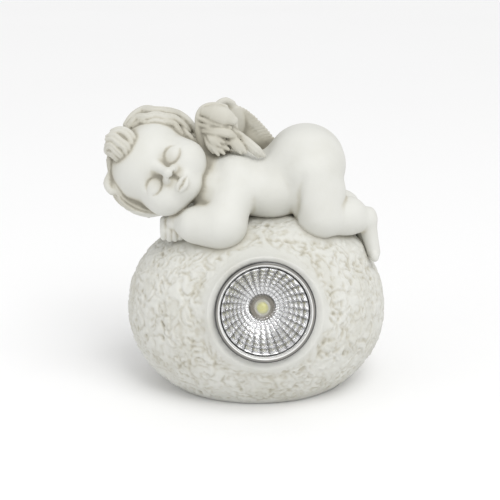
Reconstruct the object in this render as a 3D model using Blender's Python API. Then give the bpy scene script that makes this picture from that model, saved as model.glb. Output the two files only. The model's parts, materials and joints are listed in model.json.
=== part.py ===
"""A winged infant asleep on a round stone, with a small round lamp let into the stone's front.

The scene is in metres and the sizes below are in millimetres. X is to the viewer's right,
Y away from the viewer, Z up, and the origin is the middle of the stone's flat underside.
"""
import math

import bmesh
import bpy
import numpy as np
from mathutils import Euler, Matrix, Vector

MM = 0.001

# Stone
STONE_LENGTH = 98.0
STONE_DEPTH = 85.0
STONE_HEIGHT = 64.7
STONE_WIDEST_AT = 28.2
STONE_SHOULDER = 2.3
STONE_BELLY = 2.1

# Figure, crown to toes
FIGURE_LENGTH = 100.0

# Lamp
LAMP_DIAMETER = 36.0
LAMP_X = 2.9
LAMP_HEIGHT = 39.7
LAMP_FORWARD = 39.9
LAMP_TILT_DEG = 10.5
LAMP_TURN_DEG = 4.5
BEZEL_HEIGHT = 2.6
BEZEL_RIM = 1.6
BEZEL_SKIRT = 2.2
BEZEL_LEDGE = 0.4
BEZEL_OVERHANG = 0.9
SEAT_BORDER = 1.6
SEAT_BLEND = 7.0
COVER_THICKNESS = 1.2
COVER_SINK = 0.7
REFLECTOR_DEPTH = 12.0
REFLECTOR_WALL = 0.7
REFLECTOR_THROAT = 9.6
REFLECTOR_RINGS = 7
REFLECTOR_SECTORS = 30
LED_DOME = 4.8
LED_COLLAR_HEIGHT = 2.0
POCKET_FLOOR = 1.5
GAP = 0.3

# Sides of the lamp's round pieces
ROUND = 40

# How finely the statue's surface is worked out, and how many triangles it keeps
GRAIN = 0.8
STATUE_TRIANGLES = 7300

BLOCK = 16

# What the sculpted body runs on beyond its flat faces before they are cut
SPARE = 3.0


class Form:
    """A solid given by the distance of any point to its skin, negative inside."""

    def __init__(self, measure, centre, radius):
        self.measure = measure
        self.centre = np.array(centre, float)
        self.radius = float(radius)

    def at(self, p, middle, spread, reach):
        """Distances of p, which lie within spread of middle, or None where the form is out of reach."""
        if np.linalg.norm(middle - self.centre) > self.radius + spread + reach:
            return None
        return self.measure(p, middle, spread + reach)


def unit(v):
    v = np.array(v, float)
    return v / np.linalg.norm(v)


def ball(centre, radii, turn=(0, 0, 0)):
    """An ellipsoid; turn is in degrees about X, Y and Z."""
    radii = np.array(radii, np.float32)
    c = np.array(centre, np.float32)
    axes = np.array(Euler([math.radians(a) for a in turn]).to_matrix(), np.float32)

    def measure(p, middle, spread):
        q = (p - c) @ axes
        near = np.sqrt(((q / radii) ** 2).sum(1))
        steep = np.sqrt(((q / radii ** 2) ** 2).sum(1)) + 1e-6
        return near * (near - 1) / steep

    return Form(measure, centre, radii.max())


def bone(a, b, radius_a, radius_b):
    """A limb between two points, with a round end at each."""
    a = np.array(a, np.float32)
    b = np.array(b, np.float32)
    along = b - a
    square = float(along @ along)
    taper = radius_a - radius_b
    flank = square - taper * taper

    def measure(p, middle, spread):
        pa = p - a
        y = pa @ along
        z = y - square
        x2 = ((pa * square - y[:, None] * along) ** 2).sum(1)
        y2 = y * y * square
        z2 = z * z * square
        k = np.sign(taper) * taper * taper * x2
        d = (np.sqrt(x2 * flank / square) + y * taper) / square - radius_a
        d = np.where(np.sign(y) * flank * y2 < k, np.sqrt(x2 + y2) / square - radius_a, d)
        return np.where(np.sign(z) * flank * z2 > k, np.sqrt(x2 + z2) / square - radius_b, d)

    return Form(measure, (a + b) / 2, math.sqrt(square) / 2 + max(radius_a, radius_b))


def smooth_path(points, steps):
    """Points on a smooth curve through the given ones."""
    p = np.array(points, float)
    ends = np.vstack([2 * p[0] - p[1], p, 2 * p[-1] - p[-2]])
    out = []
    for i in range(len(p) - 1):
        a, b, c, d = ends[i:i + 4]
        for t in np.linspace(0, 1, steps, endpoint=False):
            bend = (2 * a - 5 * b + 4 * c - d) * t * t + (3 * b - a - 3 * c + d) * t ** 3
            out.append(0.5 * (2 * b + (c - a) * t + bend))
    out.append(p[-1])
    return np.array(out)


def ribbon(points, widths, thicks, up, strands=0, groove=0.0, steps=3):
    """A flattened lock or feather along a curve, with half widths and half thicknesses at its points.

    up is the way its flat face looks, once or per point. strands furrows run along the face.
    """
    path = smooth_path(points, steps)
    share = np.linspace(0, 1, len(path))
    given = np.linspace(0, 1, len(points))
    width = np.interp(share, given, widths)
    thick = np.interp(share, given, thicks)
    ups = np.array(up, float)
    if ups.ndim == 1:
        ups = np.repeat(ups[None], len(points), 0)
    ups = np.stack([np.interp(share, given, ups[:, i]) for i in range(3)], 1)
    start = path[:-1]
    along = path[1:] - start
    length = np.linalg.norm(along, axis=1)
    along = along / length[:, None]
    side = np.cross((ups[:-1] + ups[1:]) / 2, along)
    side /= np.linalg.norm(side, axis=1)[:, None]
    face = np.cross(along, side)
    before = np.concatenate([[0], np.cumsum(length)[:-1]])
    total = float(length.sum())
    start, along, side, face, length, before, width, thick = [
        v.astype(np.float32) for v in (start, along, side, face, length, before, width, thick)]

    def measure(p, middle, spread):
        r = p[:, None, :] - start[None]
        s = np.einsum("nmk,mk->nm", r, along)
        u = np.einsum("nmk,mk->nm", r, side)
        v = np.einsum("nmk,mk->nm", r, face)
        run = np.clip(s, 0, length)
        over = s - run
        w = width[:-1] + (width[1:] - width[:-1]) * run / length
        h = thick[:-1] + (thick[1:] - thick[:-1]) * run / length
        end = (w + h) / 2
        near = np.sqrt((u / w) ** 2 + (v / h) ** 2 + (over / end) ** 2)
        steep = np.sqrt((u / w ** 2) ** 2 + (v / h ** 2) ** 2 + (over / end ** 2) ** 2) + 1e-6
        d = near * (near - 1) / steep
        best = d.argmin(1)
        rows = np.arange(len(p))
        out = d[rows, best]
        if strands:
            across = np.clip(u[rows, best] / w[rows, best], -1, 1)
            gone = (before[best] + run[rows, best]) / total
            fade = (1 - across ** 2) * np.minimum(1, 4 * (1 - gone))
            out = out + groove * fade * (0.5 + 0.5 * np.cos(math.pi * strands * across))
        return out

    centre = path.mean(0)
    return Form(measure, centre, np.linalg.norm(path - centre, axis=1).max() + max(width.max(), thick.max()))


def tube(points, radii, steps=3):
    return ribbon(points, radii, radii, (0.013, 0.021, 1.0), steps=steps)


def drum(centre, axis, radius, low, high):
    """A cylinder about axis through centre, from low to high along it."""
    c = np.array(centre, np.float32)
    n = np.array(unit(axis), np.float32)

    def measure(p, middle, spread):
        q = p - c
        h = q @ n
        r = np.sqrt(np.maximum((q * q).sum(1) - h * h, 0))
        outside = np.stack([r - radius, np.abs(h - (low + high) / 2) - (high - low) / 2], 1)
        return np.linalg.norm(np.maximum(outside, 0), axis=1) + np.minimum(outside.max(1), 0)

    return Form(measure, np.array(centre) + unit(axis) * (low + high) / 2, math.hypot(radius, (high - low) / 2))


def soft_min(a, b, k):
    h = np.maximum(k - np.abs(a - b), 0) / k
    return np.minimum(a, b) - h * h * k * 0.25


def join(forms, k):
    """The forms melted into one, with a fillet of about k where they meet."""
    def measure(p, middle, spread):
        d = None
        for form in forms:
            e = form.at(p, middle, spread, k)
            if e is not None:
                d = e if d is None else soft_min(d, e, k)
        return np.full(len(p), 1e3, np.float32) if d is None else d

    c = np.mean([form.centre for form in forms], 0)
    return Form(measure, c, max(np.linalg.norm(form.centre - c) + form.radius for form in forms))


def cut(form, tools, k):
    """form with the tools taken away, its new edges rounded by about k."""
    def measure(p, middle, spread):
        d = form.measure(p, middle, spread)
        for tool in tools:
            e = tool.at(p, middle, spread, k)
            if e is not None:
                d = -soft_min(-d, e, k)
        return d

    return Form(measure, form.centre, form.radius)


def placed(form, location, axes, scale):
    """form turned so that its X, Y and Z lie along the columns of axes, then scaled and moved."""
    loc = np.array(location, float)
    axes = np.array(axes, float)
    loc32 = loc.astype(np.float32)
    axes32 = axes.astype(np.float32)

    def measure(p, middle, spread):
        return scale * form.measure((p - loc32) @ axes32 / scale, (middle - loc) @ axes / scale, spread / scale)

    return Form(measure, loc + axes @ form.centre * scale, form.radius * scale)


def mirrored(form):
    """form and its mirror image across the plane X = 0."""
    flip = np.array([-1.0, 1.0, 1.0])
    flip32 = flip.astype(np.float32)
    other = Form(lambda p, m, s: form.measure(p * flip32, m * flip, s), form.centre * flip, form.radius)
    return [form, other]


def both(make):
    return [make(1), make(-1)]


def sampled(form, low, high, grain):
    """The form's distances on a grid of points grain apart, in blocks, exact only near the skin."""
    low = np.array(low, float)
    size = np.ceil((np.array(high) - low) / grain / BLOCK).astype(int)
    field = np.full(size * BLOCK, 3 * grain, np.float32)
    ticks = np.arange(BLOCK) * grain
    local = np.stack(np.meshgrid(ticks, ticks, ticks, indexing="ij"), -1).reshape(-1, 3).astype(np.float32)
    spread = math.sqrt(3) * BLOCK * grain / 2 + grain
    for i in range(size[0]):
        for j in range(size[1]):
            for k in range(size[2]):
                corner = low + np.array([i, j, k]) * BLOCK * grain
                middle = corner + (BLOCK - 1) * grain / 2
                far = float(form.measure(middle[None].astype(np.float32), middle, 0.0)[0])
                box = tuple(slice(n * BLOCK, (n + 1) * BLOCK) for n in (i, j, k))
                if abs(far) > spread * 1.6 + 1.0:
                    field[box] = math.copysign(3 * grain, far)
                else:
                    d = form.measure(local + corner.astype(np.float32), middle, spread)
                    field[box] = np.clip(d, -3 * grain, 3 * grain).reshape(BLOCK, BLOCK, BLOCK)
    return low, field


def without_pinches(field, grain):
    """The field with a point filled in wherever two parts of the solid touch along an edge or at a corner."""
    small = -0.05 * grain
    for _ in range(20):
        inside = field < 0
        changed = False
        for a, b in ((0, 1), (0, 2), (1, 2)):
            def shifted(da, db):
                cut_a = slice(da, inside.shape[a] - 1 + da)
                cut_b = slice(db, inside.shape[b] - 1 + db)
                return tuple(cut_a if n == a else cut_b if n == b else slice(None) for n in range(3))
            c00, c01, c10, c11 = (inside[shifted(*c)] for c in ((0, 0), (0, 1), (1, 0), (1, 1)))
            one = c00 & c11 & ~c01 & ~c10
            two = c01 & c10 & ~c00 & ~c11
            for bad, spot in ((one, (0, 1)), (two, (0, 0))):
                if bad.any():
                    field[shifted(*spot)][bad] = small
                    changed = True
        corners = {c: inside[tuple(slice(d, inside.shape[n] - 1 + d) for n, d in enumerate(c))]
                   for c in np.ndindex(2, 2, 2)}
        count = sum(v.astype(np.int8) for v in corners.values())
        for c in ((0, 0, 0), (0, 0, 1), (0, 1, 0), (1, 0, 0)):
            other = tuple(1 - d for d in c)
            pair = corners[c] & corners[other]
            lone = pair & (count == 2)
            gap = ~corners[c] & ~corners[other] & (count == 6)
            for bad, spot in ((lone, (c[0], c[1], 1 - c[2])), (gap, c)):
                if bad.any():
                    where = tuple(slice(d, inside.shape[n] - 1 + d) for n, d in enumerate(spot))
                    field[where][bad] = small
                    changed = True
        if not changed:
            break
    return field


def skinned(low, field, grain):
    """The skin of a sampled form as points and four-cornered faces, one point for each cell it crosses."""
    inside = field < 0
    cells = tuple(n - 1 for n in field.shape)
    corner_sign = [inside[tuple(slice(d, cells[n] + d) for n, d in enumerate(c))] for c in np.ndindex(2, 2, 2)]
    count = sum(s.astype(np.int8) for s in corner_sign)
    crossed = np.argwhere((count > 0) & (count < 8))
    number = np.full(cells, -1, np.int32)
    number[tuple(crossed.T)] = np.arange(len(crossed))
    total = np.zeros((len(crossed), 3))
    hits = np.zeros(len(crossed))
    for axis in range(3):
        step = np.eye(3, dtype=int)[axis]
        for c in np.ndindex(2, 2, 2):
            if c[axis] == 1:
                continue
            a = field[tuple((crossed + c).T)].astype(float)
            b = field[tuple((crossed + c + step).T)].astype(float)
            split = (a < 0) != (b < 0)
            share = a[split] / (a[split] - b[split])
            total[split] += np.array(c) + share[:, None] * step
            hits[split] += 1
    points = np.array(low) + (crossed + total / hits[:, None]) * grain
    faces = []
    for axis in range(3):
        first = tuple(slice(0, -1) if n == axis else slice(1, -1) for n in range(3))
        second = tuple(slice(1, None) if n == axis else slice(1, -1) for n in range(3))
        edge = inside[first] != inside[second]
        spots = np.argwhere(edge) + np.array([0 if n == axis else 1 for n in range(3)])
        leaving = inside[tuple(spots.T)]
        u, v = [np.eye(3, dtype=int)[(axis + n) % 3] for n in (1, 2)]
        ring = np.stack([number[tuple((spots - off).T)] for off in (u + v, v, 0 * u, u)], 1)
        faces.append(np.where(leaving[:, None], ring, ring[:, ::-1]))
    return points, np.concatenate(faces)


def mesh_object(name, points, faces):
    mesh = bpy.data.meshes.new(name)
    mesh.vertices.add(len(points))
    mesh.vertices.foreach_set("co", (points * MM).astype(np.float32).ravel())
    mesh.loops.add(faces.size)
    mesh.loops.foreach_set("vertex_index", faces.ravel().astype(np.int32))
    mesh.polygons.add(len(faces))
    mesh.polygons.foreach_set("loop_start", np.arange(0, faces.size, 4, dtype=np.int32))
    mesh.update(calc_edges=True)
    obj = bpy.data.objects.new(name, mesh)
    bpy.context.scene.collection.objects.link(obj)
    return obj


def main_body(points, faces):
    """The points and faces of the largest connected surface, without the crumbs beside it."""
    beside = [[] for _ in points]
    for a, b, c, d in faces.tolist():
        beside[a].append(b)
        beside[b].append(c)
        beside[c].append(d)
        beside[d].append(a)
    body = np.zeros(len(points), int)
    count = 0
    for first in range(len(points)):
        if body[first]:
            continue
        count += 1
        body[first] = count
        waiting = [first]
        while waiting:
            for other in beside[waiting.pop()]:
                if not body[other]:
                    body[other] = count
                    waiting.append(other)
    keep = body == np.bincount(body)[1:].argmax() + 1
    number = np.cumsum(keep) - 1
    return points[keep], number[faces[keep[faces[:, 0]]]]


# The head, seen from the front: the face looks along -Y, the crown is up and +X is the upper ear's side

def on_face(form, spots):
    """The points where rays from in front, at each (x, z), meet the form."""
    out = []
    for x, z in spots:
        y = -26.0
        for _ in range(60):
            q = np.array([[x, y, z]], np.float32)
            d = float(form.measure(q, q[0].astype(float), 0.0)[0])
            y += min(d, 4.0) * 0.8
            if abs(d) < 0.01:
                break
        out.append((x, y, z))
    return out


def bare_head():
    skull = ball((0, 2.0, 2.6), (16.4, 16.8, 14.0))
    brow = ball((0, -3.6, 4.2), (14.4, 13.0, 11.4))
    face = ball((0, -5.0, -6.0), (13.6, 11.2, 11.0))
    jaw = ball((0, -6.5, -12.0), (9.5, 8.0, 5.6))
    cheeks = both(lambda s: ball((s * 7.9, -9.2, -8.6), (6.6, 6.7, 6.3)))
    form = join([skull, brow, face, jaw, *cheeks], 4.0)
    form = join([form, ball((0, -11.2, -15.2), (4.2, 4.0, 3.0))], 2.5)
    return cut(form, both(lambda s: ball((s * 6.3, -19.4, -2.6), (4.8, 4.2, 3.0))), 3.4)


def featured(form):
    """The head with its nose, mouth and closed eyes."""
    bridge = bone((0, -15.0, -0.5), (0, -18.3, -5.4), 1.2, 1.7)
    tip = ball((0, -18.7, -5.9), (1.9, 1.9, 1.6))
    sides = both(lambda s: ball((s * 2.05, -17.0, -6.5), (1.35, 1.7, 1.25)))
    form = join([form, join([bridge, tip, *sides], 1.0)], 1.8)
    form = cut(form, both(lambda s: ball((s * 1.1, -18.4, -7.5), (0.55, 0.8, 0.5))), 0.6)
    form = join([form, ball((-0.6, -13.2, -11.6), (4.8, 4.3, 3.6))], 2.5)
    form = join([form, *both(lambda s: ball((s * 6.4, -12.2, -4.0), (3.8, 3.5, 2.8)))], 1.5)
    lash = ((3.1, -4.6), (4.5, -5.6), (6.4, -6.1), (8.3, -5.8), (9.8, -4.8))
    fold = ((3.4, -2.4), (4.8, -1.3), (6.6, -0.9), (8.6, -1.4), (10.2, -2.8))
    lines = []
    for s in (1, -1):
        lines.append(tube(on_face(form, [(s * x, z) for x, z in lash]), [0.2, 0.34, 0.42, 0.36, 0.2]))
        lines.append(tube(on_face(form, [(s * x, z) for x, z in fold]), [0.12, 0.22, 0.26, 0.22, 0.12]))
    form = cut(form, lines, 0.5)
    bow = ((-4.2, -12.0), (-3.0, -11.3), (-1.7, -10.9), (-0.9, -11.2), (-0.1, -10.9), (1.2, -11.3), (2.4, -12.0))
    upper = tube(on_face(form, bow), [0.35, 0.8, 0.95, 0.85, 0.95, 0.8, 0.35])
    pout = ((-3.6, -12.7), (-2.2, -13.2), (-0.9, -13.4), (0.4, -13.2), (1.8, -12.7))
    lower = tube(on_face(form, pout), [0.45, 0.95, 1.12, 0.95, 0.45])
    dip = tube(on_face(form, ((0, -8.3), (0, -10.2))), [0.35, 0.5])
    form = join([cut(form, [dip], 0.9), upper, lower], 0.6)
    seam = ((-4.4, -12.4), (-2.6, -12.1), (-0.9, -12.3), (0.8, -12.1), (2.6, -12.4))
    return cut(form, [tube(on_face(form, seam), [0.1, 0.2, 0.24, 0.2, 0.1])], 0.4)


def ear():
    rim = tube([(16.4, 0.2, -4.0), (17.6, -0.6, -1.6), (18.0, 0.2, 1.6), (18.0, 2.6, 2.8), (17.8, 4.4, 1.0),
                (17.2, 4.2, -2.0), (16.6, 2.6, -5.0)], [0.7, 0.9, 1.0, 1.0, 1.0, 0.9, 1.1])
    bowl = ball((16.2, 2.2, -1.4), (2.2, 2.6, 3.6))
    lobe = ball((16.6, 1.6, -5.4), (1.2, 1.5, 1.4))
    fold = tube([(17.0, 1.6, 1.2), (17.4, 2.8, -0.6), (17.0, 2.2, -3.2)], [0.6, 0.7, 0.6])
    return cut(join([rim, bowl, lobe, fold], 0.5), [ball((18.4, 1.4, -1.8), (1.5, 1.1, 1.9))], 0.6)


def way(around, down):
    """A direction from the skull's middle: around is 0 at the face and 90 at the upper ear, down is 0 at the crown."""
    a = math.radians(around)
    t = math.radians(down)
    return np.array([math.sin(a) * math.sin(t), -math.cos(a) * math.sin(t), math.cos(t)])


def on_scalp(form, direction):
    middle = np.array([0.0, 2.0, 2.0])
    r = 28.0
    for _ in range(50):
        q = (middle + direction * r)[None].astype(np.float32)
        d = float(form.measure(q, q[0].astype(float), 0.0)[0])
        r -= min(d, 3.0) * 0.8
        if abs(d) < 0.02:
            break
    return middle + direction * r


def front_ways(scalp, spots):
    """Directions from the skull's middle to the scalp at each (x, z) seen from the front."""
    return [unit(np.array(p) - (0, 2, 2)) for p in on_face(scalp, [(0.93 * x, 0.93 * z) for x, z in spots])]


def lock(scalp, ways, width, thick, lift, swing, waves=1.0, strands=3, tip=0.35):
    """A lock of hair over the scalp along directions from the skull's middle, swinging from side to side.

    thick is the half thickness and lift how far its middle line stands off the scalp.
    """
    count = max(9, 4 * len(ways))
    share = np.linspace(0, 1, count)
    given = np.linspace(0, 1, len(ways))
    ways = np.array(ways)
    ups = np.array([unit([np.interp(t, given, ways[:, k]) for k in range(3)]) for t in share])
    path = np.array([on_scalp(scalp, up) for up in ups])
    side = np.cross(ups, np.gradient(path, axis=0))
    side /= np.linalg.norm(side, axis=1)[:, None]
    path = path + side * (swing * np.sin(2 * math.pi * waves * share))[:, None]
    path = path + ups * (0.55 * lift * np.sin(math.pi * (share * 0.9 + 0.1)))[:, None]
    widths = width * np.interp(share, [0, 0.25, 0.7, 1], [0.5, 1, 0.95, tip])
    thicks = (thick + 0.35 * lift) * np.interp(share, [0, 0.3, 0.7, 1], [0.6, 1, 1, 0.6])
    return ribbon(path, widths, thicks, ups, strands, 0.55, 2)


def combed(form, centre, axis, furrows, depth):
    """form with furrows running down from its crown like combed hair."""
    c = np.array(centre, np.float32)
    z = unit(axis)
    x = unit(np.cross(z, (0, 1, 0)))
    frame = np.stack([x, np.cross(z, x), z], 1).astype(np.float32)

    def measure(p, middle, spread):
        q = (p - c) @ frame
        flat = np.hypot(q[:, 0], q[:, 1])
        around = np.arctan2(q[:, 1], q[:, 0])
        down = np.arctan2(flat, q[:, 2])
        ridge = np.cos(furrows * around + 0.1 * furrows * np.sin(5 * down) + 1.3 * np.sin(3 * around))
        return form.measure(p, middle, spread) + depth * (0.5 - 0.5 * ridge) * np.clip(flat / 4, 0, 1)

    return Form(measure, form.centre, form.radius)


def curl(spots, centre, radii, width, thick):
    """A lock over a roll of hair, along spots (x, z) seen from the front."""
    centre = np.array(centre)
    path = []
    for x, z in spots:
        rest = 1 - ((x - centre[0]) / radii[0]) ** 2 - ((z - centre[2]) / radii[2]) ** 2
        path.append((x, centre[1] - radii[1] * math.sqrt(max(rest, 0.05)), z))
    path = np.array(path)
    ups = np.array([unit(p - centre - (0, 2, 0)) for p in path])
    given = np.linspace(0, 1, len(path))
    widths = width * np.interp(given, [0, 0.3, 0.7, 1], [0.7, 1, 1, 0.6])
    return ribbon(path, widths, thick * np.interp(given, [0, 0.3, 0.7, 1], [0.7, 1, 1, 0.7]), ups, 2, 0.35, 3)


def hair(scalp):
    opening = [ball((0, -22.0, -6.0), (20.0, 21.0, 21.0)), ball((0, 2.0, -21.0), (16.0, 16.0, 10.0))]
    cap = cut(ball((0, 2.8, 2.2), (17.2, 17.4, 15.0)), opening, 1.2)
    swell = cut(ball((7.2, 4.5, 4.8), (13.0, 12.6, 13.2)), opening, 1.0)
    full = join([scalp, swell], 2.0)
    locks = [combed(join([cap, swell], 2.0), (0, 6, 6), (0.0, 0.35, 0.94), 22, 0.8)]

    def add(ways, width, thick, lift, swing, waves=1.0, strands=3, tip=0.35):
        locks.append(lock(full, ways, width, thick, lift, swing, waves, strands, tip))

    # wavy locks over the upper temple, from the forelock to the ear, then in front of the ear and behind it
    add([way(*v) for v in ((22, 18), (50, 38), (68, 56), (80, 74), (84, 86))], 2.6, 1.3, 0.7, 0.9, 1.6, 3)
    add([way(*v) for v in ((30, 10), (66, 30), (84, 50), (94, 66))], 2.8, 1.4, 0.8, -0.9, 1.3, 3)
    add([way(*v) for v in ((60, 4), (100, 24), (108, 44), (112, 62))], 2.8, 1.4, 0.8, 0.8, 1.3, 3)
    add([way(*v) for v in ((100, 60), (104, 76), (104, 94), (98, 112), (88, 124))], 2.2, 1.4, 1.2, 0.7, 1.5)
    locks.append(tube([(17.2, -1.0, 2.0), (16.4, -3.0, -3.0), (15.2, -4.6, -7.6)], [1.3, 1.1, 0.8]))
    # the rim over the lower temple, its small curl, and the long lock that hangs under the head
    locks.append(ribbon([(-1.0, -6.0, 17.6), (-6.0, -5.6, 16.0), (-10.2, -5.0, 12.6), (-13.4, -4.6, 8.2)],
                        [1.2, 1.9, 1.9, 1.4], [1.0, 1.3, 1.3, 1.0], (-0.6, -0.4, 0.7), 3, 0.4))
    locks.append(tube([(-10.4, -5.4, 13.4), (-13.4, -5.6, 12.0), (-14.8, -5.8, 9.4), (-13.6, -6.2, 7.6)], [1.2, 1.5, 1.4, 0.9]))
    locks.append(ribbon([(-13.6, -6.0, 9.2), (-15.9, -5.8, 4.4), (-16.3, -5.6, -1.0), (-15.3, -5.6, -5.8), (-13.5, -6.0, -10.2)],
                        [1.3, 2.0, 2.2, 1.9, 0.8], [1.2, 1.7, 1.8, 1.5, 0.9], (-0.35, -0.93, 0), 3, 0.5))
    add([way(*v) for v in ((-56, 56), (-64, 74), (-68, 92), (-70, 106))], 2.4, 1.4, 0.6, 0.7, 1.2)
    add([way(*v) for v in ((-76, 56), (-88, 76), (-90, 96), (-80, 112))], 3.0, 1.6, 1.0, 0.9, 1.5, 4)
    # rows round the back of the head
    for row, (down, count, length) in enumerate(((30, 7, 34), (58, 9, 34), (86, 9, 30), (108, 7, 22))):
        for i in range(count):
            a = 100 + 160 * (i + 0.5 * (row % 2)) / (count - 0.5)
            bend = 12 if (i + row) % 2 else -12
            ways = [way(a, down), way(a + bend, down + length / 2), way(a + bend * 0.3, down + length)]
            add(ways, 2.5, 1.3, 0.7, 0.8 if i % 2 else -0.8, 1.2)
    # the forelock, a roll of curved locks that stands off the brow
    centre = (2.4, -9.6, 13.4)
    radii = (6.6, 5.6, 7.2)
    curls = [((7.6, 9.0), (8.2, 13.4), (7.0, 17.4), (3.2, 20.0), (-1.4, 19.4), (-4.0, 16.0), (-3.8, 12.0), (-2.0, 8.4)),
             ((5.6, 8.8), (6.0, 13.2), (4.4, 16.6), (1.2, 17.2), (-1.2, 15.0), (-1.2, 11.6), (0.2, 8.0)),
             ((3.4, 8.6), (3.9, 12.4), (2.4, 14.6), (0.9, 12.8), (1.6, 8.8))]
    forelock = [ball(centre, (5.8, 5.4, 6.2))]
    for spots, width in zip(curls, (1.7, 1.4, 1.1)):
        forelock.append(curl(spots, centre, radii, width, 1.2))
    return join([join(locks, 0.5), join(forelock, 0.5)], 0.5)


def head():
    scalp = bare_head()
    form = join([featured(scalp), *mirrored(ear())], 0.6)
    return join([form, hair(scalp)], 0.35)


# The body, lying along X with the head at -X and the near side at -Y

HEAD_AT = (-36.6, -4.5, 83.6)
HEAD_LEAN_DEG = 29.5
FACE_UP_DEG = 16.0
REST_LEVEL = 64.7


def head_axes():
    """The face looks at the viewer and a little up, and the crown points left and a little up."""
    lean = math.radians(HEAD_LEAN_DEG)
    tip = math.radians(FACE_UP_DEG)
    back = np.array([0, math.cos(tip), -math.sin(tip)])
    up = np.array([0, math.sin(tip), math.cos(tip)])
    crown = -math.cos(lean) * np.array([1, 0, 0]) + math.sin(lean) * up
    return np.stack([np.cross(back, crown), back, crown], 1)


def torso():
    chest = ball((-5.5, 0, 77.6), (13.5, 17.5, 11.4))
    belly = ball((5.5, 0, 76.0), (15.5, 18.2, 12.0))
    waist = ball((11, 0, 79.5), (11, 16.4, 10.0))
    rump = both(lambda s: ball((18.4, s * 4.6, 84.7), (14.4, 12.0, 13.9)))
    form = join([join([chest, belly, waist], 4.0), join(rump, 5.0)], 4.0)
    cleft = tube([(26.0, 0, 99.0), (31.5, 0, 94.5), (34.5, 0, 88.0), (34.0, 0, 80.0)], [0.4, 1.2, 1.5, 1.0])
    return cut(form, [cleft], 3.0)


def foot(ankle, toes, big_toe_side):
    ankle = np.array(ankle, float)
    toes = np.array(toes, float)
    heel = ball(ankle + (2.8, 0, 1.0), (2.9, 3.5, 3.9))
    sole = [ankle + (2.4, 0, -1.0), (ankle + toes) / 2 + (1.0, 0, 0), toes]
    arch = ribbon(sole, [3.4, 3.5, 3.9], [3.3, 3.0, 2.6], (1, 0, 0.15))
    tips = []
    for i in range(5):
        r = 1.7 if i == 0 else 1.25 - 0.05 * i
        off = (0.3, (i - 2) * 1.75 * big_toe_side, -1.1 + 0.12 * i * i)
        tips.append(ball(toes + off, (r * 0.95, r * 0.95, r * 1.25)))
    return join([join([heel, arch], 2.0), *tips], 0.8)


def leg(s):
    """The near leg has s = -1. The far foot lies lower, behind the near one."""
    near = s < 0
    knee = (23.2, s * 13.0, 68.2)
    calf_middle = (33.5, s * 9.5, 66.8) if near else (32.5, s * 8.5, 65.0)
    ankle = (38.8, -7.6, 64.8) if near else (37.2, 3.6, 62.6)
    toes = (43.6, -7.2, 52.6) if near else (42.2, 3.0, 52.0)
    thigh = join([bone((19.6, s * 8.4, 83.0), knee, 12.0, 8.9), ball((22.0, s * 10.6, 76.0), (10.4, 8.6, 9.5))], 2.0)
    calf = join([bone((24.5, s * 12.6, 67.4), calf_middle, 7.6, 6.8), bone(calf_middle, ankle, 6.8, 4.6)], 2.0)
    return join([thigh, join([calf, foot(ankle, toes, -s)], 1.2)], 1.2)


def hand(wrist, knuckles, tips, across):
    """A hand whose four fingers lie side by side from the knuckles to the tips."""
    wrist = np.array(wrist, float)
    knuckles = np.array(knuckles, float)
    tips = np.array(tips, float)
    across = unit(across)
    palm = ball((wrist + knuckles) / 2, (4.3, 3.6, 3.4))
    thumb = tube([wrist + (0, -1.5, 1.5), (wrist + knuckles) / 2 + (0.8, -2.8, 2.2),
                  knuckles - across + (1.2, -1.6, 1.5)], [1.8, 1.5, 1.2])
    fingers = []
    for i in range(4):
        off = across * (i - 1.5) * 2.2
        bend = (knuckles + tips) / 2 + (0, -1.2, 0) + off
        end = tips + off + (tips - knuckles) * (0.0, 0.06, 0.04, -0.06)[i]
        fingers.append(tube([knuckles + off, bend, end], [1.4, 1.36, 1.15]))
    return join([join([palm, thumb], 1.0), *fingers], 0.35)


def near_arm():
    upper = join([bone((-8.2, -8.4, 81.4), (-9.8, -14.6, 73.5), 8.2, 7.7),
                  bone((-9.8, -14.6, 73.5), (-12.2, -19.6, 66.4), 7.7, 8.9)], 2.0)
    fore = join([bone((-12.6, -20.4, 65.8), (-22.0, -18.2, 65.6), 8.8, 6.9), ball((-25.6, -15.8, 65.4), (4.6, 4.6, 4.4))], 2.0)
    fist = hand((-27.0, -14.5, 64.6), (-30.8, -13.4, 66.0), (-30.9, -14.3, 59.6), (1, -0.25, 0))
    return join([upper, join([fore, fist], 0.9)], 0.9)


def far_arm():
    upper = join([bone((-8.2, 8.4, 81.4), (-10.5, 15.0, 73.0), 8.2, 7.4),
                  bone((-10.5, 15.0, 73.0), (-14.5, 19.0, 65.0), 7.4, 7.4)], 2.0)
    fore = bone((-14.5, 19.0, 64.6), (-25.0, 12.0, 63.0), 7.2, 5.0)
    palm = hand((-27.0, 10.0, 62.6), (-31.5, 6.0, 63.0), (-32.0, 1.0, 59.4), (0.5, 0.2, -0.6))
    return join([upper, join([fore, palm], 0.9)], 0.9)


def feather(root, tip, width, thick, up, sag, strands=3):
    root = np.array(root, float)
    tip = np.array(tip, float)
    sag = np.array(sag, float)
    middle = (root + tip) / 2 + sag
    path = [root, (root + middle) / 2 + sag * 0.2, middle, (middle + tip) / 2 + sag * 0.1, tip]
    return ribbon(path, width * np.array([0.6, 0.85, 1.0, 0.95, 0.5]), thick * np.array([1.0, 1.0, 1.0, 0.9, 0.6]),
                  up, strands, 0.2, 2)


def plume(points, width, thick, up, strands=3):
    """A feather along given points, narrow at its root and tip."""
    given = np.linspace(0, 1, len(points))
    widths = width * np.interp(given, [0, 0.35, 0.75, 1], [0.6, 1, 0.95, 0.5])
    return ribbon(points, widths, thick * np.interp(given, [0, 0.7, 1], [1, 1, 0.6]), up, strands, 0.2, 3)


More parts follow.
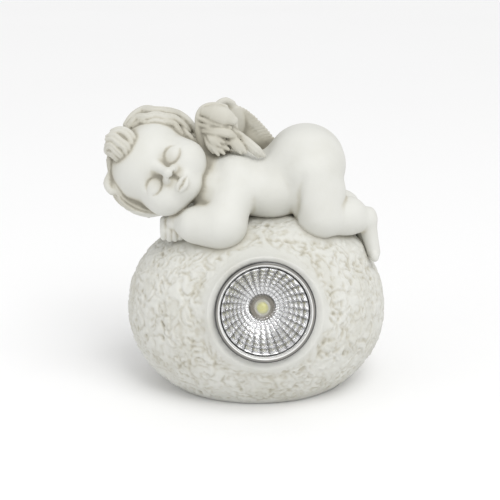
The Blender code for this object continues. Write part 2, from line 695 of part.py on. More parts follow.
def near_wing():
    up = (-0.15, -0.95, 0.25)
    edge = tube([(-13.5, -4.5, 86.0), (-18.6, -5.6, 90.0), (-20.4, -6.2, 96.0), (-20.6, -5.8, 101.0), (-19.6, -4.6, 104.2),
                 (-17.0, -3.4, 105.9), (-13.6, -2.6, 106.4), (-11.0, -2.2, 105.4)], [2.6, 2.6, 2.4, 2.2, 2.0, 1.8, 1.5, 1.1])
    web = ball((-13.8, -4.8, 96.6), (6.8, 3.0, 9.0), (0, 12, 0))
    top = plume([(-18.6, -6.2, 101.6), (-15.2, -8.8, 103.2), (-11.6, -9.9, 103.0), (-8.2, -9.0, 101.4)], 3.1, 2.0, up, 0)
    rows = [plume([(-20.0, -7.2, 99.4), (-16.2, -9.2, 99.4), (-12.0, -10.0, 98.5), (-8.8, -9.2, 96.6)], 2.0, 1.6, up),
            plume([(-19.6, -7.4, 96.6), (-16.4, -9.6, 96.7), (-13.0, -10.2, 95.2)], 1.8, 1.6, up),
            plume([(-18.4, -5.0, 104.4), (-14.4, -6.0, 105.2), (-10.6, -6.0, 104.2)], 1.6, 1.4, up)]
    shell = []
    for tip, width in (((-15.9, -10.0, 90.6), 1.8), ((-13.7, -10.6, 90.0), 1.9), ((-11.4, -10.6, 90.6), 1.9),
                       ((-9.8, -10.2, 92.3), 1.8), ((-9.2, -9.8, 94.2), 1.6)):
        shell.append(feather((-18.8, -7.2, 94.9), tip, width, 1.4, up, (-0.3, -1.5, 0.4)))
    lower = [plume([(-6.8, -6.0, 93.8), (-1.6, -8.8, 91.4), (2.4, -8.6, 87.6)], 2.3, 1.3, up, 4),
             plume([(-5.8, -6.8, 96.2), (-0.8, -9.9, 93.8), (4.0, -9.5, 88.6)], 2.3, 1.3, up, 4)]
    for tip in ((-7.8, -9.8, 90.4), (-5.8, -10.1, 90.0), (-3.8, -10.1, 90.8), (-2.4, -9.8, 92.4)):
        lower.append(feather((-9.8, -7.2, 96.6), tip, 1.7, 1.3, up, (-0.3, -1.4, 0.4)))
    return join([join([edge, web], 1.2), join(lower, 0.3), join(shell, 0.3), join(rows, 0.3), top], 0.3)


def far_wing():
    up = (-0.1, -0.9, 0.35)
    edge = tube([(-9.0, 5.0, 86.0), (-13.0, 6.0, 92.0), (-15.0, 5.6, 99.0), (-14.8, 5.4, 103.0), (-13.4, 6.2, 105.4),
                 (-10.8, 7.6, 106.4), (-8.2, 8.6, 105.2)], [2.8, 2.6, 2.2, 1.9, 1.7, 1.5, 1.3])
    web = ball((-5.6, 8.2, 95.4), (9.5, 2.0, 5.4), (-10, 40, 0))
    spine = smooth_path([(-11.0, 8.2, 105.0), (-5.2, 9.5, 101.4), (1.0, 9.5, 95.8), (7.0, 8.6, 89.5), (9.6, 8.0, 86.4)], 5)
    web = join([web, ball((0.5, 10.2, 90.4), (8.0, 1.9, 4.2), (0, 42, 0))], 2.0)
    fans = [plume(spine, 2.4, 1.3, up, 4),
            plume([(-12.0, 8.6, 102.6), (-7.6, 10.2, 98.2), (-1.2, 10.4, 92.8), (5.2, 9.6, 87.0)], 2.7, 1.2, up, 5),
            plume([(-12.0, 8.8, 99.4), (-8.4, 10.6, 95.0), (-3.4, 10.8, 91.0), (1.4, 10.2, 87.4)], 2.6, 1.2, up, 4)]
    for i in range(1, len(spine) - 5):
        outward = np.array((0.8, 0.1, 0.9)) * (2.1 - 0.04 * i)
        fans.append(ribbon([spine[i], spine[i + 4] + outward], [1.1, 0.5], [1.1, 0.6], up))
    return join([join([edge, web], 1.2), *fans], 0.3)


def figure():
    """The sleeper, in hundredths of its own length; its frame's floor is REST_LEVEL below the stone's top."""
    body = join([torso(), leg(-1), leg(1)], 1.6)
    crease = ((16.2, 21.0, 84.0), (15.0, 19.6, 78.4), (14.3, 17.8, 72.0), (13.2, 14.5, 67.0))
    groin = both(lambda s: tube([(x, s * y, z) for x, y, z in crease], [0.1, 0.5, 0.8, 0.9]))
    body = cut(body, groin, 3.0)
    body = join([body, near_arm(), far_arm()], 2.2)
    neck = [bone((-14, -2, 81.5), (-27, -4, 83.0), 9.0, 9.5), ball((-17.0, -9.0, 76.5), (7.5, 9.0, 9.0))]
    body = join([body, *neck], 3.0)
    body = join([body, join([near_wing(), far_wing()], 0.3)], 0.6)
    form = join([body, placed(head(), HEAD_AT, head_axes(), 1.0)], 0.8)
    share = FIGURE_LENGTH / 100
    return placed(form, (0, 0, STONE_HEIGHT - REST_LEVEL * share), np.eye(3), share)


# The stone and the lamp's place in it

def stone():
    a = STONE_LENGTH / 2
    b = STONE_DEPTH / 2
    c = STONE_HEIGHT - STONE_WIDEST_AT

    def measure(p, middle, spread):
        x = p[:, 0] / a
        y = p[:, 1] / b
        z = (p[:, 2] - STONE_WIDEST_AT) / c
        flat = np.sqrt(x * x + y * y) + 1e-6
        rise = np.abs(z) + 1e-6
        k = np.where(z > 0, STONE_SHOULDER, STONE_BELLY)
        near = (flat ** k + rise ** k) ** (1 / k)
        slope = np.sqrt((flat ** (k - 1) / a) ** 2 + (rise ** (k - 1) / c) ** 2) / near ** (k - 1)
        return np.maximum((near - 1) / slope, -p[:, 2] - SPARE)

    return Form(measure, (0, 0, STONE_WIDEST_AT), max(a, b, c) * 1.1)


def lamp_axes():
    """The lamp looks out along its own +Z: at the viewer, a little up and a little to the right."""
    tilt = math.radians(LAMP_TILT_DEG)
    turn = math.radians(LAMP_TURN_DEG)
    out = np.array([math.sin(turn) * math.cos(tilt), -math.cos(turn) * math.cos(tilt), math.sin(tilt)])
    right = unit(np.cross((0, 0, 1), -out) * -1)
    return np.stack([right, np.cross(out, right), out], 1)


def lamp_place():
    return Matrix.Translation(Vector(LAMP_AT) * MM) @ Matrix(lamp_axes().tolist()).to_4x4()


LAMP_AT = (LAMP_X, -LAMP_FORWARD, LAMP_HEIGHT)
COVER_DIAMETER = LAMP_DIAMETER - 2 * BEZEL_RIM - 2 * GAP
COVER_BACK = BEZEL_HEIGHT - COVER_SINK - COVER_THICKNESS
SKIRT_DIAMETER = LAMP_DIAMETER - 2 * BEZEL_OVERHANG
POCKET_DIAMETER = SKIRT_DIAMETER + 2 * GAP
POCKET_DEPTH = REFLECTOR_DEPTH + LED_COLLAR_HEIGHT + POCKET_FLOOR


def bed():
    """Low swellings of the stone under the shins and the belly, so that the sleeper lies in it."""
    under_legs = [bone((20, -12, 53.5), (33.0, -7.2, 52.2), 8.0, 7.0), bone((20, 11, 53.5), (32.0, 5.0, 51.4), 7.5, 6.4)]
    under_belly = both(lambda s: ball((5.0, s * 8.5, 57.0), (17.0, 12.0, 8.4)))
    under_belly += both(lambda s: ball((13.5, s * 11.0, 59.0), (7.5, 8.0, 6.6)))
    share = FIGURE_LENGTH / 100
    swellings = join(under_legs + under_belly, 6.0)
    return [placed(swellings, (0, 0, STONE_HEIGHT - REST_LEVEL * share), np.eye(3), share)]


def statue_form():
    """Figure and stone in one, raised in front for the lamp's flat seat."""
    seat = drum(LAMP_AT, lamp_axes()[:, 2], LAMP_DIAMETER / 2 + SEAT_BORDER, -POCKET_DEPTH, SPARE)
    body = join([join([stone(), *bed()], 6.0), seat], SEAT_BLEND)
    return join([body, figure()], 0.8)


def statue():
    reach = FIGURE_LENGTH * 0.62
    low = (-max(reach, STONE_LENGTH / 2 + 3), -STONE_DEPTH / 2 - 6, -SPARE - 2 * GRAIN)
    high = (max(reach, STONE_LENGTH / 2 + 3), STONE_DEPTH / 2 + 4, STONE_HEIGHT + FIGURE_LENGTH * 0.45)
    corner, field = sampled(statue_form(), low, high, GRAIN)
    points, faces = main_body(*skinned(corner, without_pinches(field, GRAIN), GRAIN))
    obj = mesh_object("angel_on_stone", points, faces)
    thin = obj.modifiers.new("Fewer triangles", "DECIMATE")
    thin.ratio = STATUE_TRIANGLES / (2 * len(faces))
    thin.use_collapse_triangulate = True
    seat = LAMP_DIAMETER / 2 + SEAT_BORDER + SEAT_BLEND
    pocket = POCKET_DIAMETER / 2
    profile = [(0, -POCKET_DEPTH), (pocket, -POCKET_DEPTH), (pocket, -GAP)]
    profile += [(seat, -GAP), (seat, 4 * SPARE), (0, 4 * SPARE)]
    lamp_cutter = turned("lamp_cutter", profile, 64)
    lamp_cutter.matrix_world = lamp_place()
    floor_cutter = turned("floor_cutter", [(0, -4 * SPARE), (STONE_LENGTH, -4 * SPARE), (STONE_LENGTH, 0), (0, 0)], 16)
    for cutter in (lamp_cutter, floor_cutter):
        cutter.hide_render = True
        cutter.display_type = "WIRE"
        boolean = obj.modifiers.new(cutter.name, "BOOLEAN")
        boolean.operation = "DIFFERENCE"
        boolean.solver = "EXACT"
        boolean.object = cutter
    return obj


# The lamp's pieces, each turned about its own Z

def turned(name, profile, segments):
    """A closed solid made by turning a closed profile of (radius, height) about Z."""
    bm = bmesh.new()
    rings = []
    for radius, height in profile:
        if radius == 0:
            rings.append([bm.verts.new((0, 0, height * MM))])
            continue
        ring = []
        for i in range(segments):
            a = 2 * math.pi * i / segments
            ring.append(bm.verts.new((radius * math.cos(a) * MM, radius * math.sin(a) * MM, height * MM)))
        rings.append(ring)
    closed = profile[0][0] != 0
    pairs = list(zip(rings, rings[1:] + (rings[:1] if closed else [])))
    for one, two in pairs[:len(rings) if closed else len(rings) - 1]:
        for i in range(segments):
            j = (i + 1) % segments
            corners = [one[i % len(one)], one[j % len(one)], two[j % len(two)], two[i % len(two)]]
            corners = list(dict.fromkeys(corners))
            if len(corners) > 2:
                bm.faces.new(corners)
    bmesh.ops.recalc_face_normals(bm, faces=bm.faces)
    mesh = bpy.data.meshes.new(name)
    bm.to_mesh(mesh)
    bm.free()
    obj = bpy.data.objects.new(name, mesh)
    bpy.context.scene.collection.objects.link(obj)
    return obj


def arc(cx, cz, radius, first_deg, last_deg, steps):
    angles = np.radians(np.linspace(first_deg, last_deg, steps))
    return [(cx + radius * math.cos(a), cz + radius * math.sin(a)) for a in angles]


def bezel():
    outer = LAMP_DIAMETER / 2
    inner = outer - BEZEL_RIM
    skirt = SKIRT_DIAMETER / 2
    ledge = inner - BEZEL_LEDGE
    round_off = BEZEL_RIM * 0.45
    profile = [(ledge, COVER_BACK - GAP), (inner, COVER_BACK - GAP), (inner, BEZEL_HEIGHT - round_off * 0.6)]
    profile += [(inner + round_off * 0.5, BEZEL_HEIGHT)]
    profile += arc(outer - round_off, BEZEL_HEIGHT - round_off, round_off, 90, 0, 3)
    profile += [(outer, 0), (skirt, 0), (skirt, -BEZEL_SKIRT), (ledge, -BEZEL_SKIRT)]
    return turned("light_bezel", profile, ROUND)


def cover():
    r = COVER_DIAMETER / 2
    top = COVER_BACK + COVER_THICKNESS
    return turned("light_cover", [(0, COVER_BACK), (r, COVER_BACK), (r, top - 0.2), (r - 0.2, top), (0, top)], ROUND)


def cup_radius(share):
    """The reflector's inner radius from its throat (0) to its mouth (1), in even steps."""
    throat = REFLECTOR_THROAT / 2
    mouth = LAMP_DIAMETER / 2 - BEZEL_RIM - BEZEL_LEDGE - GAP - REFLECTOR_WALL
    return throat + (mouth - throat) * share


def reflector():
    top = COVER_BACK - GAP
    inner = [(cup_radius(i / REFLECTOR_RINGS), top - REFLECTOR_DEPTH * (1 - (i / REFLECTOR_RINGS) ** 2))
             for i in range(REFLECTOR_RINGS + 1)]
    outer = [(r + REFLECTOR_WALL, z - (0.5 if z < top else 0)) for r, z in inner[::-2] + inner[:1]]
    return turned("light_reflector", inner + outer, REFLECTOR_SECTORS)


def led():
    floor = COVER_BACK - GAP - REFLECTOR_DEPTH - LED_COLLAR_HEIGHT
    top = floor + LED_COLLAR_HEIGHT + 0.6
    collar = REFLECTOR_THROAT / 2 - GAP
    dome = LED_DOME / 2
    profile = [(0, floor), (collar, floor), (collar, top), (dome, top)]
    profile += [(dome * math.cos(a), top + dome * 0.6 * math.sin(a)) for a in np.radians([30, 62])]
    profile += [(0, top + dome * 0.6)]
    return turned("led", profile, ROUND // 2)


def paint(obj, colour, roughness, metallic, transmission):
    mat = bpy.data.materials.new(obj.name)
    mat.use_nodes = True
    shader = mat.node_tree.nodes["Principled BSDF"]
    shader.inputs["Base Color"].default_value = (*colour, 1.0)
    shader.inputs["Roughness"].default_value = roughness
    shader.inputs["Metallic"].default_value = metallic
    shader.inputs["Transmission Weight"].default_value = transmission
    mat.diffuse_color = (*colour, 1.0)
    obj.data.materials.append(mat)


def main():
    for obj in list(bpy.data.objects):
        bpy.data.objects.remove(obj)
    paint(statue(), (0.84, 0.83, 0.79), 0.6, 0.0, 0.0)
    lamp = bpy.data.objects.new("lamp", None)
    bpy.context.scene.collection.objects.link(lamp)
    lamp.matrix_world = lamp_place()
    pieces = ((bezel(), (0.42, 0.41, 0.38), 0.25, 0.6, 0.0), (cover(), (0.95, 0.96, 0.96), 0.05, 0.0, 0.9),
              (reflector(), (0.80, 0.80, 0.81), 0.12, 1.0, 0.0), (led(), (0.80, 0.78, 0.35), 0.35, 0.0, 0.0))
    for obj, *looks in pieces:
        obj.parent = lamp
        paint(obj, *looks)
        obj.data.shade_smooth()
        obj.data.set_sharp_from_angle(angle=math.radians(30))


main()
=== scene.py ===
# %% [markdown]
# # A winged infant asleep on a rough stone, with a small round lamp in the stone
# The real object is a small garden ornament, cast in off-white resin and rubbed with a thin beige
# wash that stays in its hollows. A round lamp is let into the front of the stone: a smoky ring, a
# clear cover, a faceted reflector and one yellow diode. The CAD model gives every size and place.
# This script makes the fine surfaces around it and gives them their finishes. It starts by loading
# the CAD model as a frame.

# %% Load the frame
import json
import math

import bmesh
import bpy
import numpy as np
from mathutils import Euler, Matrix, Vector
from mathutils.kdtree import KDTree

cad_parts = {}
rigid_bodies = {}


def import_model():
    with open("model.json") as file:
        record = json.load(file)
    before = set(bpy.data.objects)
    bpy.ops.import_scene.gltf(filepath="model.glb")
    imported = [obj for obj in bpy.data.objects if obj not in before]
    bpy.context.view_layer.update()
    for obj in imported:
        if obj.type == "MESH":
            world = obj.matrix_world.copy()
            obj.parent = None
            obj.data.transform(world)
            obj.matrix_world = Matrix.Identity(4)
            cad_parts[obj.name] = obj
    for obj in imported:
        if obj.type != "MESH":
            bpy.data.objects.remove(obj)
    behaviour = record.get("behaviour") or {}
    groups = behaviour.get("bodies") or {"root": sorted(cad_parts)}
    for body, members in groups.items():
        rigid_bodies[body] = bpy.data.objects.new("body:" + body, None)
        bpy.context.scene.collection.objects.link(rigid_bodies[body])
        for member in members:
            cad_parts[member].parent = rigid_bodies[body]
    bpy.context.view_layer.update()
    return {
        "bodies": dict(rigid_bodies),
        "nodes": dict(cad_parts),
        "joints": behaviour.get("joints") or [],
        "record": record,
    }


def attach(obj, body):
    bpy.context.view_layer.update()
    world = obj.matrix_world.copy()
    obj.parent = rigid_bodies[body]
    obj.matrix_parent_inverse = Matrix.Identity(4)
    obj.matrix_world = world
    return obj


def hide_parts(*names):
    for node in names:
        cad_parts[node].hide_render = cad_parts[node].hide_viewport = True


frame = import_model()
print("CAD pieces:", sorted(frame["nodes"]))

# %% [markdown]
# ## Sizes
# These are the CAD model's own sizes, in millimetres, so that the fine surfaces lie where its
# solids lie. X is to the viewer's right, Y away from the viewer, Z up, from the middle of the
# stone's underside.

# %% Sizes
MM = 0.001
STONE_LENGTH = 98.0
STONE_DEPTH = 85.0
STONE_HEIGHT = 64.7
STONE_WIDEST_AT = 28.2
STONE_SHOULDER = 2.3
STONE_BELLY = 2.1
FIGURE_LENGTH = 100.0
LAMP_DIAMETER = 36.0
LAMP_X = 2.9
LAMP_HEIGHT = 39.7
LAMP_FORWARD = 39.9
LAMP_TILT_DEG = 10.5
LAMP_TURN_DEG = 4.5
BEZEL_HEIGHT = 2.6
BEZEL_RIM = 1.6
BEZEL_SKIRT = 2.2
BEZEL_LEDGE = 0.4
BEZEL_OVERHANG = 0.9
SEAT_BORDER = 1.6
SEAT_BLEND = 7.0
COVER_THICKNESS = 1.2
COVER_SINK = 0.7
REFLECTOR_DEPTH = 12.0
REFLECTOR_WALL = 0.7
REFLECTOR_THROAT = 9.6
REFLECTOR_RINGS = 7
REFLECTOR_SECTORS = 30
LED_DOME = 4.8
LED_COLLAR_HEIGHT = 2.0
POCKET_FLOOR = 1.5
GAP = 0.3

# %% [markdown]
# The fine meshes have settings of their own. The two grains are the steps, in millimetres, of the
# grids on which the figure and the stone are worked out, `BLOCK` is the number of grid points along
# a block's side, `SPARE` is how far a cutting tool reaches past what it cuts, and `SEGMENTS` goes
# round a turned piece.

# %% Mesh settings
FIGURE_GRAIN = 0.36
STONE_GRAIN = 0.44
BLOCK = 16
SPARE = 3.0
SEGMENTS = 128
MOST_TRIANGLES = 190000
print("figure grain", FIGURE_GRAIN, "stone grain", STONE_GRAIN)

# %% [markdown]
# ## Shapes as distances
# A carved figure is hard to make from boxes and curves. Sculptors would use a digital clay brush,
# and a script can do the same with distances: each form is a rule that says how far a point is from
# its skin, negative inside. Two rules melt into one form with a soft minimum, which rounds the
# place where they meet as a thumb rounds clay. `centre` and `radius` let far-away forms be skipped,
# which keeps this quick.

# %% A form
class Form:
    """A solid given by the distance of any point to its skin, negative inside."""

    def __init__(self, measure, centre, radius):
        self.measure = measure
        self.centre = np.array(centre, float)
        self.radius = float(radius)

    def at(self, p, middle, spread, reach):
        """Distances of p, all within spread of middle, or None where the form is out of reach."""
        if np.linalg.norm(middle - self.centre) > self.radius + spread + reach:
            return None
        return self.measure(p, middle, spread + reach)


def vectors(*given):
    return [np.array(v, float) for v in given]


def unit(v):
    v = np.array(v, float)
    return v / np.linalg.norm(v)

# %% [markdown]
# The first two tools are an ellipsoid, for masses such as the skull and the chest, and a limb with
# round ends of two sizes, for arms and thighs.

# %% Masses and limbs
def ball(centre, radii, turn=(0, 0, 0)):
    """An ellipsoid; turn is in degrees about X, Y and Z."""
    radii = np.array(radii, np.float32)
    c = np.array(centre, np.float32)
    axes = np.array(Euler([math.radians(a) for a in turn]).to_matrix(), np.float32)

    def measure(p, middle, spread):
        q = (p - c) @ axes
        near = np.sqrt(((q / radii) ** 2).sum(1))
        steep = np.sqrt(((q / radii ** 2) ** 2).sum(1)) + 1e-6
        return near * (near - 1) / steep

    return Form(measure, centre, radii.max())


def bone(a, b, radius_a, radius_b):
    """A limb between two points, with a round end at each."""
    a = np.array(a, np.float32)
    b = np.array(b, np.float32)
    along = b - a
    square = float(along @ along)
    taper = radius_a - radius_b
    flank = square - taper * taper

    def measure(p, middle, spread):
        pa = p - a
        y = pa @ along
        z = y - square
        x2 = ((pa * square - y[:, None] * along) ** 2).sum(1)
        y2 = y * y * square
        z2 = z * z * square
        k = np.sign(taper) * taper * taper * x2
        d = (np.sqrt(x2 * flank / square) + y * taper) / square - radius_a
        d = np.where(np.sign(y) * flank * y2 < k, np.sqrt(x2 + y2) / square - radius_a, d)
        return np.where(np.sign(z) * flank * z2 > k, np.sqrt(x2 + z2) / square - radius_b, d)

    return Form(measure, (a + b) / 2, math.sqrt(square) / 2 + max(radius_a, radius_b))

# %% [markdown]
# Locks of hair and feathers are flat ribbons that follow a curve, with furrows along their faces. A
# rule for one ribbon makes all of them. A tube is the same thing with a round section, for fingers,
# lips and eyelids. It has no flat face, so `ANY_WAY` serves as its face's direction: no tube here
# runs along it.

# %% Ribbons and tubes
ANY_WAY = (0.013, 0.021, 1.0)


def smooth_path(points, steps):
    """Points on a smooth curve through the given ones."""
    p = np.array(points, float)
    ends = np.vstack([2 * p[0] - p[1], p, 2 * p[-1] - p[-2]])
    out = []
    for i in range(len(p) - 1):
        a, b, c, d = ends[i:i + 4]
        for t in np.linspace(0, 1, steps, endpoint=False):
            bend = (2 * a - 5 * b + 4 * c - d) * t * t + (3 * b - a - 3 * c + d) * t ** 3
            out.append(0.5 * (2 * b + (c - a) * t + bend))
    out.append(p[-1])
    return np.array(out)


def ribbon(points, widths, thicks, up, strands=0, groove=0.0, steps=3):
    """A flat lock or feather along a curve, with half widths and half thicknesses at its points.

    up is the way its flat face looks, once or per point. strands furrows run along the face.
    """
    path = smooth_path(points, steps)
    share = np.linspace(0, 1, len(path))
    given = np.linspace(0, 1, len(points))
    width = np.interp(share, given, widths)
    thick = np.interp(share, given, thicks)
    ups = np.array(up, float)
    if ups.ndim == 1:
        ups = np.repeat(ups[None], len(points), 0)
    ups = np.stack([np.interp(share, given, ups[:, i]) for i in range(3)], 1)
    start = path[:-1]
    along = path[1:] - start
    length = np.linalg.norm(along, axis=1)
    along = along / length[:, None]
    side = np.cross((ups[:-1] + ups[1:]) / 2, along)
    side /= np.linalg.norm(side, axis=1)[:, None]
    face = np.cross(along, side)
    before = np.concatenate([[0], np.cumsum(length)[:-1]])
    total = float(length.sum())
    start, along, side, face, length, before, width, thick = [
        v.astype(np.float32) for v in (start, along, side, face, length, before, width, thick)]

    def measure(p, middle, spread):
        r = p[:, None, :] - start[None]
        s = np.einsum("nmk,mk->nm", r, along)
        u = np.einsum("nmk,mk->nm", r, side)
        v = np.einsum("nmk,mk->nm", r, face)
        run = np.clip(s, 0, length)
        over = s - run
        w = width[:-1] + (width[1:] - width[:-1]) * run / length
        h = thick[:-1] + (thick[1:] - thick[:-1]) * run / length
        end = (w + h) / 2
        near = np.sqrt((u / w) ** 2 + (v / h) ** 2 + (over / end) ** 2)
        steep = np.sqrt((u / w ** 2) ** 2 + (v / h ** 2) ** 2 + (over / end ** 2) ** 2) + 1e-6
        d = near * (near - 1) / steep
        best = d.argmin(1)
        rows = np.arange(len(p))
        out = d[rows, best]
        if strands:
            across = np.clip(u[rows, best] / w[rows, best], -1, 1)
            gone = (before[best] + run[rows, best]) / total
            fade = (1 - across ** 2) * np.minimum(1, 4 * (1 - gone))
            out = out + groove * fade * (0.5 + 0.5 * np.cos(math.pi * strands * across))
        return out

    centre = path.mean(0)
    return Form(measure, centre,
                np.linalg.norm(path - centre, axis=1).max() + max(width.max(), thick.max()))


def tube(points, radii):
    return ribbon(points, radii, radii, ANY_WAY)


def drum(centre, axis, radius, low, high):
    """A cylinder about axis through centre, from low to high along it."""
    c = np.array(centre, np.float32)
    n = np.array(unit(axis), np.float32)

    def measure(p, middle, spread):
        q = p - c
        h = q @ n
        r = np.sqrt(np.maximum((q * q).sum(1) - h * h, 0))
        outside = np.stack([r - radius, np.abs(h - (low + high) / 2) - (high - low) / 2], 1)
        return np.linalg.norm(np.maximum(outside, 0), axis=1) + np.minimum(outside.max(1), 0)

    return Form(measure, np.array(centre) + unit(axis) * (low + high) / 2,
                math.hypot(radius, (high - low) / 2))

# %% [markdown]
# Joining, cutting, placing and mirroring are what a sculptor does with the pieces. The number `k`
# is the width of the rounding, in millimetres.

# %% Joining and cutting
def soft_min(a, b, k):
    h = np.maximum(k - np.abs(a - b), 0) / k
    return np.minimum(a, b) - h * h * k * 0.25


def join(forms, k):
    """The forms melted into one, with a fillet of about k where they meet."""
    def measure(p, middle, spread):
        d = None
        for form in forms:
            e = form.at(p, middle, spread, k)
            if e is not None:
                d = e if d is None else soft_min(d, e, k)
        return np.full(len(p), 1e3, np.float32) if d is None else d

    c = np.mean([form.centre for form in forms], 0)
    return Form(measure, c, max(np.linalg.norm(form.centre - c) + form.radius for form in forms))


def cut(form, tools, k):
    """form with the tools taken away, its new edges rounded by about k."""
    def measure(p, middle, spread):
        d = form.measure(p, middle, spread)
        for tool in tools:
            e = tool.at(p, middle, spread, k)
            if e is not None:
                d = -soft_min(-d, e, k)
        return d

    return Form(measure, form.centre, form.radius)


def placed(form, location, axes, scale):
    """form turned so that its X, Y and Z lie along the columns of axes, then scaled and moved."""
    loc = np.array(location, float)
    axes = np.array(axes, float)
    loc32 = loc.astype(np.float32)
    axes32 = axes.astype(np.float32)

    def measure(p, middle, spread):
        return scale * form.measure((p - loc32) @ axes32 / scale, (middle - loc) @ axes / scale,
                                    spread / scale)

    return Form(measure, loc + axes @ form.centre * scale, form.radius * scale)


def mirrored(form):
    """form and its mirror image across the plane X = 0."""
    flip = np.array([-1.0, 1.0, 1.0])
    flip32 = flip.astype(np.float32)
    other = Form(lambda p, m, s: form.measure(p * flip32, m * flip, s),
                 form.centre * flip, form.radius)
    return [form, other]


def both(make):
    return [make(1), make(-1)]

# %% [markdown]
# ## From distances to a mesh
# The rule is worked out on a grid of points, in blocks, so that empty blocks cost nothing. Each
# grid cell that the skin crosses gets one point, at the mean of the places where its edges are
# crossed, and neighbouring points are joined by four-cornered faces. Cells where two parts of the
# skin would only touch are filled first.

# %% The grid
NO_SKIN_SHARE = 1.6
NO_SKIN_ROOM = 1.0


def sampled(form, low, high, grain):
    """The form's distances on a grid of points grain apart, in blocks, exact only near the skin."""
    low = np.array(low, float)
    size = np.ceil((np.array(high) - low) / grain / BLOCK).astype(int)
    band = 3 * grain
    field = np.full(size * BLOCK, band, np.float32)
    ticks = np.arange(BLOCK) * grain
    local = np.stack(np.meshgrid(ticks, ticks, ticks, indexing="ij"),
                     -1).reshape(-1, 3).astype(np.float32)
    spread = math.sqrt(3) * BLOCK * grain / 2 + grain
    for i in range(size[0]):
        for j in range(size[1]):
            for k in range(size[2]):
                corner = low + np.array([i, j, k]) * BLOCK * grain
                middle = corner + (BLOCK - 1) * grain / 2
                far = float(form.measure(middle[None].astype(np.float32), middle, 0.0)[0])
                box = tuple(slice(n * BLOCK, (n + 1) * BLOCK) for n in (i, j, k))
                if abs(far) > spread * NO_SKIN_SHARE + NO_SKIN_ROOM:
                    field[box] = math.copysign(band, far)
                else:
                    d = form.measure(local + corner.astype(np.float32), middle, spread)
                    field[box] = np.clip(d, -band, band).reshape(BLOCK, BLOCK, BLOCK)
    return low, field


def without_pinches(field, grain):
    """The field, filled in wherever two parts of the solid touch along an edge or at a corner."""
    small = -0.05 * grain
    for _ in range(20):
        inside = field < 0
        changed = False
        for a, b in ((0, 1), (0, 2), (1, 2)):
            def shifted(da, db):
                cut_a = slice(da, inside.shape[a] - 1 + da)
                cut_b = slice(db, inside.shape[b] - 1 + db)
                return tuple(cut_a if n == a else cut_b if n == b else slice(None)
                             for n in range(3))
            c00, c01, c10, c11 = (inside[shifted(*c)] for c in ((0, 0), (0, 1), (1, 0), (1, 1)))
            one = c00 & c11 & ~c01 & ~c10
            two = c01 & c10 & ~c00 & ~c11
            for bad, spot in ((one, (0, 1)), (two, (0, 0))):
                if bad.any():
                    field[shifted(*spot)][bad] = small
                    changed = True
        corners = {c: inside[tuple(slice(d, inside.shape[n] - 1 + d) for n, d in enumerate(c))]
                   for c in np.ndindex(2, 2, 2)}
        count = sum(v.astype(np.int8) for v in corners.values())
        for c in ((0, 0, 0), (0, 0, 1), (0, 1, 0), (1, 0, 0)):
            other = tuple(1 - d for d in c)
            pair = corners[c] & corners[other]
            lone = pair & (count == 2)
            gap = ~corners[c] & ~corners[other] & (count == 6)
            for bad, spot in ((lone, (c[0], c[1], 1 - c[2])), (gap, c)):
                if bad.any():
                    where = tuple(slice(d, inside.shape[n] - 1 + d) for n, d in enumerate(spot))
                    field[where][bad] = small
                    changed = True
        if not changed:
            break
    return field

# %% The skin
def skinned(low, field, grain):
    """The skin of a sampled form: a point for each cell it crosses, and four-cornered faces."""
    inside = field < 0
    cells = tuple(n - 1 for n in field.shape)
    corner_sign = [inside[tuple(slice(d, cells[n] + d) for n, d in enumerate(c))]
                   for c in np.ndindex(2, 2, 2)]
    count = sum(s.astype(np.int8) for s in corner_sign)
    crossed = np.argwhere((count > 0) & (count < 8))
    number = np.full(cells, -1, np.int32)
    number[tuple(crossed.T)] = np.arange(len(crossed))
    total = np.zeros((len(crossed), 3))
    hits = np.zeros(len(crossed))
    for axis in range(3):
        step = np.eye(3, dtype=int)[axis]
        for c in np.ndindex(2, 2, 2):
            if c[axis] == 1:
                continue
            a = field[tuple((crossed + c).T)].astype(float)
            b = field[tuple((crossed + c + step).T)].astype(float)
            split = (a < 0) != (b < 0)
            share = a[split] / (a[split] - b[split])
            total[split] += np.array(c) + share[:, None] * step
            hits[split] += 1
    points = np.array(low) + (crossed + total / hits[:, None]) * grain
    faces = []
    for axis in range(3):
        first = tuple(slice(0, -1) if n == axis else slice(1, -1) for n in range(3))
        second = tuple(slice(1, None) if n == axis else slice(1, -1) for n in range(3))
        edge = inside[first] != inside[second]
        spots = np.argwhere(edge) + np.array([0 if n == axis else 1 for n in range(3)])
        leaving = inside[tuple(spots.T)]
        u, v = [np.eye(3, dtype=int)[(axis + n) % 3] for n in (1, 2)]
        ring = np.stack([number[tuple((spots - off).T)] for off in (u + v, v, 0 * u, u)], 1)
        faces.append(np.where(leaving[:, None], ring, ring[:, ::-1]))
    return points, np.concatenate(faces)


def main_body(points, faces):
    """The points and faces of the largest connected surface, without the crumbs beside it."""
    beside = [[] for _ in points]
    for a, b, c, d in faces.tolist():
        beside[a].append(b)
        beside[b].append(c)
        beside[c].append(d)
        beside[d].append(a)
    body = np.zeros(len(points), int)
    count = 0
    for first in range(len(points)):
        if body[first]:
            continue
        count += 1
        body[first] = count
        waiting = [first]
        while waiting:
            for other in beside[waiting.pop()]:
                if not body[other]:
                    body[other] = count
                    waiting.append(other)
    keep = body == np.bincount(body)[1:].argmax() + 1
    number = np.cumsum(keep) - 1
    return points[keep], number[faces[keep[faces[:, 0]]]]


# %% Making an object of it
def linked(name, data):
    """A new object in the scene, with data as its mesh, lamp or camera."""
    obj = bpy.data.objects.new(name, data)
    bpy.context.scene.collection.objects.link(obj)
    return obj


